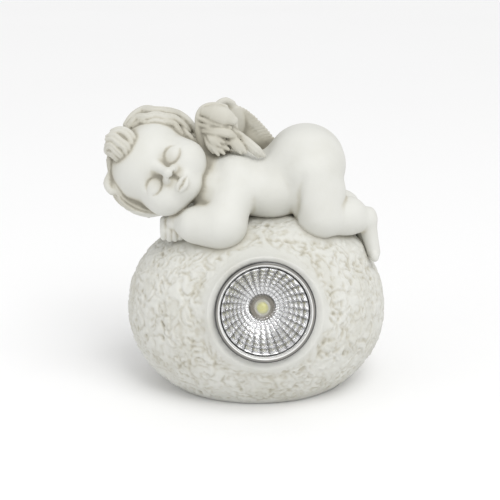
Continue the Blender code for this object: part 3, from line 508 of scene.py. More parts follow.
def mesh_object(name, points, faces):
    mesh = bpy.data.meshes.new(name)
    mesh.vertices.add(len(points))
    mesh.vertices.foreach_set("co", (points * MM).astype(np.float32).ravel())
    mesh.loops.add(faces.size)
    mesh.loops.foreach_set("vertex_index", faces.ravel().astype(np.int32))
    mesh.polygons.add(len(faces))
    mesh.polygons.foreach_set("loop_start", np.arange(0, faces.size, 4, dtype=np.int32))
    mesh.update(calc_edges=True)
    return linked(name, mesh)


def settled(obj):
    """obj with its modifiers worked into a plain mesh."""
    graph = bpy.context.evaluated_depsgraph_get()
    mesh = bpy.data.meshes.new_from_object(obj.evaluated_get(graph), preserve_all_data_layers=True,
                                           depsgraph=graph)
    obj.modifiers.clear()
    obj.data = mesh
    return obj


def thinned(obj, most):
    """obj with at most so many triangles, the fewest where it is flat."""
    obj.data.calc_loop_triangles()
    count = len(obj.data.loop_triangles)
    if count > most:
        thin = obj.modifiers.new("Fewer triangles", "DECIMATE")
        thin.ratio = most / count
        thin.use_collapse_triangulate = True
        settled(obj)
    print(obj.name, count, "triangles, kept", len(obj.data.polygons))
    return obj


# %% [markdown]
# ## The head
# The head is made upright and facing forwards, which is easier to think about, and turned to its
# sleeping pose at the end. It starts as a skull with a brow, cheeks and a chin on the usual
# proportions of an infant: the eyes lie below the middle of the head, and the face is small and
# round.

# %% Skull and face
SKULL_MIDDLE = (0.0, 2.0, 2.0)
BEFORE_FACE = -26.0
OFF_SCALP = 28.0
RAY_SHARE = 0.8


def met(form, start, direction, near, longest):
    """How far a ray goes from start until it is within near of the form.

    Each step is a share of the distance to the form, and at most that share of longest.
    """
    gone = 0.0
    for _ in range(60):
        q = (start + direction * gone)[None].astype(np.float32)
        d = float(form.measure(q, q[0].astype(float), 0.0)[0])
        gone += min(d, longest) * RAY_SHARE
        if abs(d) < near:
            break
    return gone


def on_face(form, spots):
    """The points where rays from in front, at each (x, z), meet the form."""
    back = np.array([0.0, 1.0, 0.0])
    return [(x, BEFORE_FACE + met(form, np.array([x, BEFORE_FACE, z]), back, 0.01, 4.0), z)
            for x, z in spots]


def bare_head():
    skull = ball((0, 2.0, 2.6), (16.4, 16.8, 14.0))
    brow = ball((0, -3.6, 4.2), (14.4, 13.0, 11.4))
    face = ball((0, -5.0, -6.0), (13.6, 11.2, 11.0))
    jaw = ball((0, -6.5, -12.0), (9.5, 8.0, 5.6))
    cheeks = both(lambda s: ball((s * 7.9, -9.2, -8.6), (6.6, 6.7, 6.3)))
    form = join([skull, brow, face, jaw, *cheeks], 4.0)
    form = join([form, ball((0, -11.2, -15.2), (4.2, 4.0, 3.0))], 2.5)
    return cut(form, both(lambda s: ball((s * 6.3, -19.4, -2.6), (4.8, 4.2, 3.0))), 3.4)

# %% [markdown]
# The nose and lips are added and the closed lids are drawn as two curves for each eye, the lash
# line and the fold above it. Their points are given as seen from the front, and `on_face` drops
# them on to the skin.

# %% Features
def featured(form):
    """The head with its nose, mouth and closed eyes."""
    bridge = bone((0, -15.0, -0.5), (0, -18.3, -5.4), 1.2, 1.7)
    tip = ball((0, -18.7, -5.9), (1.9, 1.9, 1.6))
    sides = both(lambda s: ball((s * 2.05, -17.0, -6.5), (1.35, 1.7, 1.25)))
    form = join([form, join([bridge, tip, *sides], 1.0)], 1.8)
    form = cut(form, both(lambda s: ball((s * 1.1, -18.4, -7.5), (0.55, 0.8, 0.5))), 0.6)
    form = join([form, ball((-0.6, -13.2, -11.6), (4.8, 4.3, 3.6))], 2.5)
    form = join([form, *both(lambda s: ball((s * 6.4, -12.2, -4.0), (3.8, 3.5, 2.8)))], 1.5)
    lash = ((3.1, -4.6), (4.5, -5.6), (6.4, -6.1), (8.3, -5.8), (9.8, -4.8))
    fold = ((3.4, -2.4), (4.8, -1.3), (6.6, -0.9), (8.6, -1.4), (10.2, -2.8))
    lines = []
    for s in (1, -1):
        lines.append(tube(on_face(form, [(s * x, z) for x, z in lash]),
                          [0.2, 0.34, 0.42, 0.36, 0.2]))
        lines.append(tube(on_face(form, [(s * x, z) for x, z in fold]),
                          [0.12, 0.22, 0.26, 0.22, 0.12]))
    form = cut(form, lines, 0.5)
    bow = ((-4.2, -12.0), (-3.0, -11.3), (-1.7, -10.9), (-0.9, -11.2), (-0.1, -10.9),
           (1.2, -11.3), (2.4, -12.0))
    upper = tube(on_face(form, bow), [0.3, 0.6, 0.72, 0.62, 0.72, 0.6, 0.3])
    pout = ((-3.6, -12.7), (-2.2, -13.2), (-0.9, -13.4), (0.4, -13.2), (1.8, -12.7))
    lower = tube(on_face(form, pout), [0.35, 0.75, 0.95, 0.75, 0.35])
    dip = tube(on_face(form, ((0, -8.3), (0, -10.2))), [0.35, 0.5])
    form = join([cut(form, [dip], 0.9), upper, lower], 0.6)
    seam = ((-4.4, -12.4), (-2.6, -12.1), (-0.9, -12.3), (0.8, -12.1), (2.6, -12.4))
    return cut(form, [tube(on_face(form, seam), [0.1, 0.2, 0.24, 0.2, 0.1])], 0.4)


def ear():
    rim = tube([(16.4, 0.2, -4.0), (17.6, -0.6, -1.6), (18.0, 0.2, 1.6), (18.0, 2.6, 2.8),
                (17.8, 4.4, 1.0), (17.2, 4.2, -2.0), (16.6, 2.6, -5.0)],
               [0.7, 0.9, 1.0, 1.0, 1.0, 0.9, 1.1])
    bowl = ball((16.2, 2.2, -1.4), (2.2, 2.6, 3.6))
    lobe = ball((16.6, 1.6, -5.4), (1.2, 1.5, 1.4))
    fold = tube([(17.0, 1.6, 1.2), (17.4, 2.8, -0.6), (17.0, 2.2, -3.2)], [0.6, 0.7, 0.6])
    return cut(join([rim, bowl, lobe, fold], 0.5), [ball((18.4, 1.4, -1.8), (1.5, 1.1, 1.9))], 0.6)

# %% [markdown]
# The hair is a combed cap with wavy locks laid over it. A lock's path is a row of directions from
# the middle of the skull, so it always lies on the scalp. The locks that show from the front are
# each placed, and the back of the head is covered by rows of them in a loop.

# %% Locks of hair
def way(around, down):
    """A direction from the skull's middle.

    around is 0 at the face and 90 at the upper ear, and down is 0 at the crown.
    """
    a = math.radians(around)
    t = math.radians(down)
    return np.array([math.sin(a) * math.sin(t), -math.cos(a) * math.sin(t), math.cos(t)])


def on_scalp(form, direction):
    start = SKULL_MIDDLE + direction * OFF_SCALP
    return start - direction * met(form, start, -direction, 0.02, 3.0)


def lock(scalp, ways, width, thick, lift, swing, waves, strands=3):
    """A lock of hair that swings from side to side, along directions from the skull's middle.

    thick is the half thickness and lift how far its middle line stands off the scalp.
    """
    count = max(9, 4 * len(ways))
    share = np.linspace(0, 1, count)
    given = np.linspace(0, 1, len(ways))
    ways = np.array(ways)
    ups = np.array([unit([np.interp(t, given, ways[:, k]) for k in range(3)]) for t in share])
    path = np.array([on_scalp(scalp, up) for up in ups])
    side = np.cross(ups, np.gradient(path, axis=0))
    side /= np.linalg.norm(side, axis=1)[:, None]
    path = path + side * (swing * np.sin(2 * math.pi * waves * share))[:, None]
    path = path + ups * (0.55 * lift * np.sin(math.pi * (share * 0.9 + 0.1)))[:, None]
    widths = width * np.interp(share, [0, 0.25, 0.7, 1], [0.5, 1, 0.95, 0.35])
    thicks = (thick + 0.35 * lift) * np.interp(share, [0, 0.3, 0.7, 1], [0.6, 1, 1, 0.6])
    return ribbon(path, widths, thicks, ups, strands, 0.55, 2)


def combed(form, centre, axis, furrows, depth):
    """form with furrows running down from its crown like combed hair."""
    c = np.array(centre, np.float32)
    z = unit(axis)
    x = unit(np.cross(z, (0, 1, 0)))
    frame = np.stack([x, np.cross(z, x), z], 1).astype(np.float32)

    def measure(p, middle, spread):
        q = (p - c) @ frame
        flat = np.hypot(q[:, 0], q[:, 1])
        around = np.arctan2(q[:, 1], q[:, 0])
        down = np.arctan2(flat, q[:, 2])
        ridge = np.cos(furrows * around + 0.1 * furrows * np.sin(5 * down)
                       + 1.3 * np.sin(3 * around))
        furrow = depth * (0.5 - 0.5 * ridge) * np.clip(flat / 4, 0, 1)
        return form.measure(p, middle, spread) + furrow

    return Form(measure, form.centre, form.radius)

# %% All of the hair
SWELL_AT = (7.2, 4.5, 4.8)
TEMPLE_ROLL = (13.6, 12.8, 13.8)
FORELOCK_AT = (0.9, -9.4, 14.2)
FORELOCK = (6.2, 5.4, 6.3)


def curl(spots, centre, radii, grow, width, thick, strands, tip=0.6):
    """A lock over a roll of hair grown by so much, along spots (x, z) seen from the front."""
    centre, radii = vectors(centre, radii)
    radii = radii + grow
    path = []
    for x, z in smooth_path([(x, 0, z) for x, z in spots], 2)[:, (0, 2)]:
        rest = 1 - ((x - centre[0]) / radii[0]) ** 2 - ((z - centre[2]) / radii[2]) ** 2
        path.append((x, centre[1] - radii[1] * math.sqrt(max(rest, 0.03)), z))
    path = np.array(path)
    ups = np.array([unit((p - centre) / radii - (0, 0.15, 0)) for p in path])
    given = np.linspace(0, 1, len(path))
    widths = width * np.interp(given, [0, 0.3, 0.7, 1], [0.85, 1, 1, tip])
    thicks = thick * np.interp(given, [0, 0.3, 0.7, 1], [0.7, 1, 1, 0.7])
    return ribbon(path, widths, thicks, ups, strands, 0.35, 2)


def hair(scalp):
    opening = [ball((0, -22.0, -6.0), (20.0, 21.0, 21.0)),
               ball((0, 2.0, -21.0), (16.0, 16.0, 10.0))]
    cap = cut(ball((0, 2.8, 2.2), (17.2, 17.4, 15.0)), opening, 1.2)
    swell = cut(ball(SWELL_AT, (13.0, 12.6, 13.2)), opening, 1.0)
    full = join([scalp, swell], 2.0)
    locks = [combed(join([cap, swell], 2.0), (0, 6, 6), (0.0, 0.35, 0.94), 22, 0.8)]
    # wavy locks over the upper temple, from the forelock to the ear and round it
    waves = [((8.4, 15.4), (12.2, 14.0), (13.4, 11.6), (15.4, 9.0), (16.8, 6.2), (17.6, 3.4)),
             ((8.2, 17.0), (12.4, 16.2), (15.2, 13.8), (17.2, 10.4), (18.8, 7.0), (20.0, 3.0),
              (19.8, -1.4)),
             ((8.8, 14.6), (11.8, 13.4), (12.2, 10.8), (14.4, 8.8), (15.4, 6.0), (16.7, 3.8),
              (17.0, 1.6), (15.5, -1.0), (14.6, -3.2), (15.1, -5.6), (14.8, -8.2)),
             ((7.6, 16.4), (12.4, 15.6), (14.2, 12.4), (16.6, 9.8), (17.8, 6.4), (19.2, 3.2),
              (18.6, -0.6), (17.6, -3.4)),
             ((8.4, 17.8), (12.6, 17.4), (16.6, 15.0), (18.0, 11.0), (19.8, 7.6), (21.4, 3.0),
              (20.8, -2.0), (18.6, -5.8))]
    sizes = ((-0.6, 2.5, 1.5), (-0.6, 2.7, 1.5), (0.4, 1.3, 1.1), (0.9, 1.6, 1.2), (0.7, 2.1, 1.5))
    locks += [curl(spots, SWELL_AT, TEMPLE_ROLL, *size, 3) for spots, size in zip(waves, sizes)]
    locks.append(tube([(17.2, -1.0, 2.0), (16.4, -3.0, -3.0), (15.2, -4.6, -7.6)], [1.3, 1.1, 0.8]))
    # the rim over the lower temple, its small curl, and the long lock that hangs under the head
    locks.append(ribbon([(-1.0, -6.0, 17.6), (-6.0, -5.6, 16.0), (-10.2, -5.0, 12.6),
                         (-13.4, -4.6, 8.2)],
                        [1.2, 1.9, 1.9, 1.4], [1.0, 1.3, 1.3, 1.0], (-0.6, -0.4, 0.7), 3, 0.4))
    locks.append(tube([(-10.4, -5.4, 13.4), (-13.8, -5.8, 12.4), (-15.4, -6.2, 9.6),
                       (-13.8, -6.8, 7.6)], [1.2, 1.7, 1.6, 1.0]))
    locks.append(ribbon([(-13.6, -6.0, 9.2), (-15.9, -5.8, 4.4), (-16.3, -5.6, -1.0),
                         (-15.3, -5.6, -5.8), (-13.5, -6.0, -10.2)],
                        [1.4, 2.3, 2.7, 2.3, 0.9], [1.2, 1.8, 2.0, 1.7, 0.9],
                        (-0.35, -0.93, 0), 3, 0.6))
    temple = [way(*v) for v in ((-56, 56), (-64, 74), (-68, 92), (-70, 106))]
    behind = [way(*v) for v in ((-76, 56), (-88, 76), (-90, 96), (-80, 112))]
    locks += [lock(full, temple, 2.4, 1.4, 0.6, 0.7, 1.2),
              lock(full, behind, 3.0, 1.6, 1.0, 0.9, 1.5, 4)]
    # rows round the back of the head
    rows = ((30, 7, 34), (58, 9, 34), (86, 9, 30), (108, 7, 22))
    for row, (down, count, length) in enumerate(rows):
        for i in range(count):
            a = 100 + 160 * (i + 0.5 * (row % 2)) / (count - 0.5)
            bend = 12 if (i + row) % 2 else -12
            ways = [way(a, down), way(a + bend, down + length / 2),
                    way(a + bend * 0.3, down + length)]
            locks.append(lock(full, ways, 2.5, 1.3, 0.7, 0.8 if i % 2 else -0.8, 1.2))
    # the forelock, a roll of curved locks that stands off the brow
    curls = [((3.2, 19.6), (5.0, 17.6), (5.6, 14.8), (4.6, 12.0), (2.2, 9.6), (-0.6, 8.8)),
             ((0.4, 20.0), (1.7, 17.8), (1.2, 15.0), (0.9, 12.4), (-0.9, 10.4), (-2.8, 10.2)),
             ((-2.4, 18.8), (-1.4, 17.0), (-2.0, 14.8), (-2.6, 12.4), (-3.6, 11.4)),
             ((-4.4, 16.8), (-3.9, 15.2), (-4.4, 13.2), (-3.6, 11.6))]
    forelock = [ball(FORELOCK_AT, FORELOCK), ball((-0.4, -7.6, 16.4), (5.0, 4.6, 3.2), (0, 25, 0))]
    for spots, grow, width in zip(curls, (0.2, 0.4, 0.1, 0.0), (2.0, 1.8, 1.5, 1.3)):
        forelock.append(curl(spots, FORELOCK_AT, FORELOCK, grow, width, 1.1, 2, 0.4))
    return join([join(locks, 0.5), join(forelock, 0.5)], 0.5)


def head():
    scalp = bare_head()
    form = join([featured(scalp), *mirrored(ear())], 0.6)
    return join([form, hair(scalp)], 0.35)

# %% [markdown]
# ## The body
# The sleeper lies on the belly with the knees drawn up, so the rump is the highest part of the
# body. The torso is a few ellipsoids. One function makes both legs, and one makes both hands.

# %% The head's pose
HEAD_AT = (-36.6, -4.5, 83.6)
HEAD_LEAN_DEG = 29.5
FACE_UP_DEG = 16.0


def head_axes():
    """The face looks at the viewer and a little up, and the crown points left and a little up."""
    lean = math.radians(HEAD_LEAN_DEG)
    tip = math.radians(FACE_UP_DEG)
    back = np.array([0, math.cos(tip), -math.sin(tip)])
    up = np.array([0, math.sin(tip), math.cos(tip)])
    crown = -math.cos(lean) * np.array([1, 0, 0]) + math.sin(lean) * up
    return np.stack([np.cross(back, crown), back, crown], 1)


def lying(form):
    """form turned from the upright head's place to the sleeper's."""
    return placed(form, HEAD_AT, head_axes(), 1.0)

# %% Torso and legs
def torso():
    chest = ball((-5.5, 0, 77.6), (13.5, 17.5, 11.4))
    belly = ball((5.5, 0, 76.0), (15.5, 18.2, 12.0))
    waist = ball((11, 0, 79.5), (11, 16.4, 10.0))
    rump = both(lambda s: ball((18.4, s * 4.6, 84.7), (14.4, 12.0, 13.9)))
    form = join([join([chest, belly, waist], 4.0), join(rump, 5.0)], 4.0)
    cleft = tube([(26.0, 0, 99.0), (31.5, 0, 94.5), (34.5, 0, 88.0), (34.0, 0, 80.0)],
                 [0.4, 1.2, 1.5, 1.0])
    return cut(form, [cleft], 3.0)


def foot(ankle, toes, big_toe_side):
    ankle, toes = vectors(ankle, toes)
    heel = ball(ankle + (2.8, 0, 1.0), (2.9, 3.5, 3.9))
    sole = [ankle + (2.4, 0, -1.0), (ankle + toes) / 2 + (1.0, 0, 0), toes]
    arch = ribbon(sole, [3.4, 3.5, 3.9], [3.3, 3.0, 2.6], (1, 0, 0.15))
    tips = []
    for i in range(5):
        r = 1.7 if i == 0 else 1.25 - 0.05 * i
        off = (0.3, (i - 2) * 1.75 * big_toe_side, -1.1 + 0.12 * i * i)
        tips.append(ball(toes + off, (r * 0.95, r * 0.95, r * 1.25)))
    return join([join([heel, arch], 2.0), *tips], 0.8)


def leg(s):
    """The near leg has s = -1. The far foot lies lower, behind the near one."""
    near = s < 0
    knee = (23.2, s * 13.0, 68.2)
    calf_middle = (33.5, s * 9.5, 66.8) if near else (32.5, s * 8.5, 65.0)
    ankle = (38.8, -7.6, 64.8) if near else (37.2, 3.6, 62.6)
    toes = (43.6, -7.2, 52.6) if near else (42.2, 3.0, 52.0)
    thigh = join([bone((19.6, s * 8.4, 83.0), knee, 12.0, 8.9),
                  ball((22.0, s * 10.6, 76.0), (10.4, 8.6, 9.5))], 2.0)
    calf = join([bone((24.5, s * 12.6, 67.4), calf_middle, 7.6, 6.8),
                 bone(calf_middle, ankle, 6.8, 4.6)], 2.0)
    return join([thigh, join([calf, foot(ankle, toes, -s)], 1.2)], 1.2)

# %% Arms and hands
def hand(wrist, knuckles, tips, across):
    """A hand whose four fingers lie side by side from the knuckles to the tips."""
    wrist, knuckles, tips = vectors(wrist, knuckles, tips)
    across = unit(across)
    palm = ball((wrist + knuckles) / 2, (4.3, 3.6, 3.4))
    thumb = tube([wrist + (0, -1.5, 1.5), (wrist + knuckles) / 2 + (0.8, -2.8, 2.2),
                  knuckles - across + (1.2, -1.6, 1.5)], [1.8, 1.5, 1.2])
    fingers = []
    for i in range(4):
        off = across * (i - 1.5) * 2.2
        bend = (knuckles + tips) / 2 + (0, -1.2, 0) + off
        end = tips + off + (tips - knuckles) * (0.0, 0.06, 0.04, -0.06)[i]
        fingers.append(tube([knuckles + off, bend, end], [1.4, 1.36, 1.15]))
    return join([join([palm, thumb], 1.0), *fingers], 0.35)


def near_arm():
    upper = join([bone((-8.2, -8.4, 81.4), (-9.8, -14.6, 73.5), 8.2, 7.7),
                  bone((-9.8, -14.6, 73.5), (-12.2, -19.6, 66.4), 7.7, 8.9)], 2.0)
    fore = join([bone((-12.6, -20.4, 65.8), (-22.0, -18.2, 65.6), 8.8, 6.9),
                 ball((-25.6, -15.8, 65.4), (4.6, 4.6, 4.4))], 2.0)
    fist = hand((-27.0, -14.5, 64.6), (-30.8, -13.4, 66.0), (-30.9, -14.3, 59.6), (1, -0.25, 0))
    return join([upper, join([fore, fist], 0.9)], 0.9)


def far_arm():
    upper = join([bone((-8.2, 8.4, 81.4), (-10.5, 15.0, 73.0), 8.2, 7.4),
                  bone((-10.5, 15.0, 73.0), (-14.5, 19.0, 65.0), 7.4, 7.4)], 2.0)
    fore = bone((-14.5, 19.0, 64.6), (-25.0, 12.0, 63.0), 7.2, 5.0)
    palm = hand((-27.0, 10.0, 62.6), (-31.5, 6.0, 63.0), (-32.0, 1.0, 59.4), (0.5, 0.2, -0.6))
    return join([upper, join([fore, palm], 0.9)], 0.9)

# %% [markdown]
# Both wings stand up from the back, each with a thick leading edge. The near one has rows of short
# feathers along its top, fans of them below and a few longer ones that end at the back. Of the far
# one only the inner side of one long vane shows, so it is a curved plate with a row of thin barbs
# across it.

# %% Feathers
def feather(root, tip, width, thick, up, sag):
    """A feather from root to tip, whose middle is pushed out by sag."""
    root, tip, sag = vectors(root, tip, sag)
    middle = (root + tip) / 2 + sag
    path = [root, (root + middle) / 2 + sag * 0.2, middle, (middle + tip) / 2 + sag * 0.1, tip]
    widths = width * np.array([0.6, 0.85, 1.0, 0.95, 0.5])
    return ribbon(path, widths, thick * np.array([1.0, 1.0, 1.0, 0.9, 0.6]), up, 1, 0.2, 2)


def fan(root, tips, width, thick, up, sag):
    return [feather(root, tip, width, thick, up, sag) for tip in tips]


def plume(points, width, thick, up, strands):
    """A feather along given points, narrow at its root and tip."""
    given = np.linspace(0, 1, len(points))
    widths = width * np.interp(given, [0, 0.35, 0.75, 1], [0.6, 1, 0.95, 0.5])
    return ribbon(points, widths, thick * np.interp(given, [0, 0.7, 1], [1, 1, 0.6]), up,
                  strands, 0.2, 3)

# %% Wings
def near_wing():
    up = (-0.15, -0.95, 0.25)
    edge = tube([(-13.5, -4.5, 86.0), (-18.6, -5.6, 90.0), (-20.0, -6.2, 96.0),
                 (-20.8, -6.0, 101.2), (-20.3, -5.4, 104.4), (-18.4, -4.6, 106.2),
                 (-15.2, -3.8, 106.7), (-11.4, -3.2, 106.1)],
                [2.6, 2.6, 2.2, 1.8, 1.6, 1.5, 1.4, 1.0])
    web = ball((-13.8, -4.8, 97.4), (7.0, 3.2, 9.2), (0, 12, 0))
    top = ribbon([(-19.2, -6.8, 105.0), (-15.4, -8.9, 104.8), (-11.6, -9.9, 103.9),
                  (-8.2, -9.2, 102.2)],
                 [1.8, 3.0, 3.2, 1.7], [1.2, 1.7, 1.7, 1.2], up)
    rows = [plume([(-20.8, -7.2, 102.6), (-17.2, -8.9, 101.8), (-12.6, -9.9, 100.7),
                   (-9.4, -9.4, 99.7)], 1.2, 1.2, up, 1),
            plume([(-20.6, -7.4, 100.4), (-17.2, -9.1, 100.0), (-13.6, -9.9, 99.3)],
                  1.2, 1.2, up, 1),
            plume([(-18.8, -8.0, 98.2), (-14.6, -9.9, 98.3), (-10.6, -10.4, 97.9),
                   (-8.0, -9.4, 96.3)], 2.0, 1.6, up, 2),
            plume([(-18.4, -5.0, 106.0), (-14.4, -5.6, 106.4), (-10.8, -5.4, 105.4)],
                  1.3, 1.3, up, 2)]
    shell = [ball((-14.6, -8.4, 93.6), (4.6, 1.7, 3.4), (0, 30, 0))]
    tips = ((-15.9, -9.7, 90.7), (-13.9, -10.3, 89.9), (-11.9, -10.4, 90.4), (-10.3, -10.2, 91.9),
            (-9.7, -9.8, 93.9))
    shell += fan((-18.6, -7.6, 96.4), tips, 1.25, 1.3, up, (-0.2, -1.1, 0.5))
    tips = ((-14.9, -10.8, 93.4), (-13.2, -11.2, 93.4), (-11.7, -11.1, 94.5))
    shell += fan((-17.8, -8.4, 97.2), tips, 1.1, 1.1, up, (-0.2, -0.9, 0.4))
    tips = ((-7.6, -9.4, 91.6), (-5.8, -9.8, 90.6), (-4.0, -9.7, 90.7))
    lower = fan((-9.4, -7.4, 97.0), tips, 1.35, 1.3, up, (-0.2, -1.2, 0.4))
    lower += [plume([(-6.8, -6.2, 97.0), (-3.4, -8.9, 94.4), (0.2, -9.5, 91.4), (2.6, -8.8, 89.2)],
                    1.7, 1.3, up, 2),
              plume([(-6.4, -6.4, 95.0), (-3.0, -8.8, 92.9), (-0.8, -9.2, 91.0), (0.8, -8.6, 88.9)],
                    1.5, 1.2, up, 2)]
    web = join([web, ball((-6.6, -6.6, 94.2), (4.2, 1.8, 3.4), (0, 35, 0)),
                ball((-10.4, -7.6, 96.2), (3.6, 2.0, 3.4))], 1.5)
    return join([join([edge, web], 1.6), join(lower, 0.25), join(shell, 0.25),
                 join(rows, 0.3), top], 0.3)


FAR_BARBS = 20
BARB_SLANT = 2.4


def far_wing():
    up = (-0.1, -0.9, 0.35)
    edge = tube([(-9.0, 5.0, 86.0), (-13.0, 6.0, 92.0), (-15.2, 5.8, 99.0), (-15.2, 5.8, 103.4),
                 (-13.8, 6.4, 105.6), (-11.4, 7.4, 106.5), (-9.0, 8.4, 105.3)],
                [2.8, 2.6, 2.1, 1.7, 1.5, 1.5, 1.3])
    middle = [(-12.0, 8.0, 104.0), (-6.4, 9.2, 100.8), (-2.8, 9.8, 97.4), (0.6, 9.8, 93.8),
              (4.4, 9.2, 90.0), (8.6, 8.4, 86.6)]
    plate = ribbon(middle, [2.2, 3.1, 3.5, 3.7, 3.0, 1.6], [1.3, 1.3, 1.3, 1.3, 1.3, 1.0], up)
    inner = np.array([(-10.6, 8.0, 102.4), (-7.2, 8.9, 98.6), (-4.7, 9.2, 95.6), (-1.2, 9.2, 91.2),
                      (3.2, 8.6, 87.8), (6.8, 8.0, 85.4)])
    outer = np.array([(-8.8, 7.6, 105.2), (-4.2, 8.5, 103.0), (-0.4, 9.0, 99.8), (3.4, 9.0, 95.8),
                      (6.8, 8.5, 91.6), (10.0, 7.9, 87.6)])
    barbs = []
    for i in range(FAR_BARBS):
        start, end = [np.array([np.interp(t * 5, range(6), side[:, k]) for k in range(3)])
                      for t, side in ((i / FAR_BARBS, inner),
                                      (min(1, (i + BARB_SLANT) / FAR_BARBS), outer))]
        half = (start + end) / 2 + (0.1, -0.35, 0.35)
        barbs.append(ribbon([start, half, end], [0.75, 0.9, 0.65], [0.55, 0.7, 0.5], up))
    web = [ball((-9.5, 8.0, 96.4), (4.6, 1.9, 8.0), (0, 20, 0)),
           ball((-2.2, 9.9, 90.2), (9.5, 1.9, 5.4), (0, 38, 0))]
    return join([join([edge, *web, plate], 1.4), join(barbs, 0.2)], 0.3)


def wings():
    return join([near_wing(), far_wing()], 0.3)

# %% [markdown]
# The figure is given in hundredths of its own length, standing on the same floor as the stone, and
# its belly lies at `REST_LEVEL`. `on_stone` gives it its size and sets that level on top of the
# stone.

# %% The whole figure
REST_LEVEL = 64.7


def on_stone(form):
    share = FIGURE_LENGTH / 100
    return placed(form, (0, 0, STONE_HEIGHT - REST_LEVEL * share), np.eye(3), share)


def figure():
    body = join([torso(), leg(-1), leg(1)], 1.6)
    crease = ((16.2, 21.0, 84.0), (15.0, 19.6, 78.4), (14.3, 17.8, 72.0), (13.2, 14.5, 67.0))
    groin = both(lambda s: tube([(x, s * y, z) for x, y, z in crease], [0.1, 0.5, 0.8, 0.9]))
    body = cut(body, groin, 3.0)
    body = join([body, near_arm(), far_arm()], 2.2)
    neck = [bone((-14, -2, 81.5), (-27, -4, 83.0), 9.0, 9.5),
            ball((-17.0, -9.0, 76.5), (7.5, 9.0, 9.0))]
    body = join([body, *neck], 3.0)
    body = join([body, wings()], 0.6)
    return on_stone(join([body, lying(head())], 0.8))

# %% [markdown]
# ## The stone's shape and the lamp's place
# The stone is a rounded lump that is fuller at the shoulder than an ellipsoid, so its rule uses
# another power than two. In front it rises to a flat seat, with a pocket in it for the lamp.

# %% The stone
def stone():
    a = STONE_LENGTH / 2
    b = STONE_DEPTH / 2
    c = STONE_HEIGHT - STONE_WIDEST_AT

    def measure(p, middle, spread):
        x = p[:, 0] / a
        y = p[:, 1] / b
        z = (p[:, 2] - STONE_WIDEST_AT) / c
        flat = np.sqrt(x * x + y * y) + 1e-6
        rise = np.abs(z) + 1e-6
        k = np.where(z > 0, STONE_SHOULDER, STONE_BELLY)
        near = (flat ** k + rise ** k) ** (1 / k)
        slope = np.sqrt((flat ** (k - 1) / a) ** 2 + (rise ** (k - 1) / c) ** 2) / near ** (k - 1)
        return np.maximum((near - 1) / slope, -p[:, 2] - SPARE)

    return Form(measure, (0, 0, STONE_WIDEST_AT), max(a, b, c) * 1.1)

# %% The lamp's place
LAMP_AT = (LAMP_X, -LAMP_FORWARD, LAMP_HEIGHT)
COVER_DIAMETER = LAMP_DIAMETER - 2 * BEZEL_RIM - 2 * GAP
COVER_BACK = BEZEL_HEIGHT - COVER_SINK - COVER_THICKNESS
SKIRT_DIAMETER = LAMP_DIAMETER - 2 * BEZEL_OVERHANG
POCKET_DIAMETER = SKIRT_DIAMETER + 2 * GAP
POCKET_DEPTH = REFLECTOR_DEPTH + LED_COLLAR_HEIGHT + POCKET_FLOOR


def lamp_axes():
    """The lamp looks out along its own +Z: at the viewer, a little up and a little to the right."""
    tilt = math.radians(LAMP_TILT_DEG)
    turn = math.radians(LAMP_TURN_DEG)
    out = np.array([math.sin(turn) * math.cos(tilt), -math.cos(turn) * math.cos(tilt),
                    math.sin(tilt)])
    right = unit(np.cross((0, 0, 1), -out) * -1)
    return np.stack([right, np.cross(out, right), out], 1)


def lamp_place():
    return Matrix.Translation(Vector(LAMP_AT) * MM) @ Matrix(lamp_axes().tolist()).to_4x4()


print("lamp at", LAMP_AT, "looking along", lamp_axes()[:, 2].round(3))

# %% The stone with its bed, seat and pocket
def bed():
    """Low swellings of the stone under the shins and the belly, so that the sleeper lies in it."""
    under_legs = [bone((20, -12, 53.5), (33.0, -7.2, 52.2), 8.0, 7.0),
                  bone((20, 11, 53.5), (32.0, 5.0, 51.4), 7.5, 6.4)]
    under_belly = both(lambda s: ball((5.0, s * 8.5, 57.0), (17.0, 12.0, 8.4)))
    under_belly += both(lambda s: ball((13.5, s * 11.0, 59.0), (7.5, 8.0, 6.6)))
    return on_stone(join(under_legs + under_belly, 6.0))


def whole_stone():
    axis = lamp_axes()[:, 2]
    seat = drum(LAMP_AT, axis, LAMP_DIAMETER / 2 + SEAT_BORDER, -POCKET_DEPTH, SPARE)
    body = join([join([stone(), bed()], 6.0), seat], SEAT_BLEND)
    pocket = drum(LAMP_AT, axis, POCKET_DIAMETER / 2, -POCKET_DEPTH, 6 * SPARE)
    front = drum(LAMP_AT, axis, LAMP_DIAMETER / 2 + SEAT_BORDER + SEAT_BLEND, -GAP, 6 * SPARE)
    below = drum((0, 0, 0), (0, 0, 1), 2 * STONE_LENGTH, -6 * SPARE, 0)
    return cut(body, [pocket, front, below], 0.3)

# %% [markdown]
# ## The figure's mesh
# What lies deeper in the stone than `STONE_COVER` never shows, so it is cut away before the skin is
# made. The mesh is then thinned, which keeps its small faces where the carving is fine.

# %% Make the figure
def shrunk(form, by):
    def measure(p, middle, spread):
        return form.measure(p, middle, spread) + by

    return Form(measure, form.centre, form.radius)


def carved(name, form, low, high, grain):
    corner, field = sampled(form, low, high, grain)
    points, faces = main_body(*skinned(corner, without_pinches(field, grain), grain))
    obj = mesh_object(name, points, faces)
    obj.data.shade_smooth()
    print(name, "has", len(points), "points between", points.min(0).round(1), "and",
          points.max(0).round(1))
    return obj


STONE_COVER = 2.0
figure_low = (-0.62 * FIGURE_LENGTH, -30, 40)
figure_high = (0.53 * FIGURE_LENGTH, 30, STONE_HEIGHT + 0.45 * FIGURE_LENGTH)
shown_figure = cut(figure(), [shrunk(stone(), STONE_COVER)], 0.3)
sleeper = carved("sleeping_figure", shown_figure, figure_low, figure_high, FIGURE_GRAIN)
thinned(sleeper, MOST_TRIANGLES)

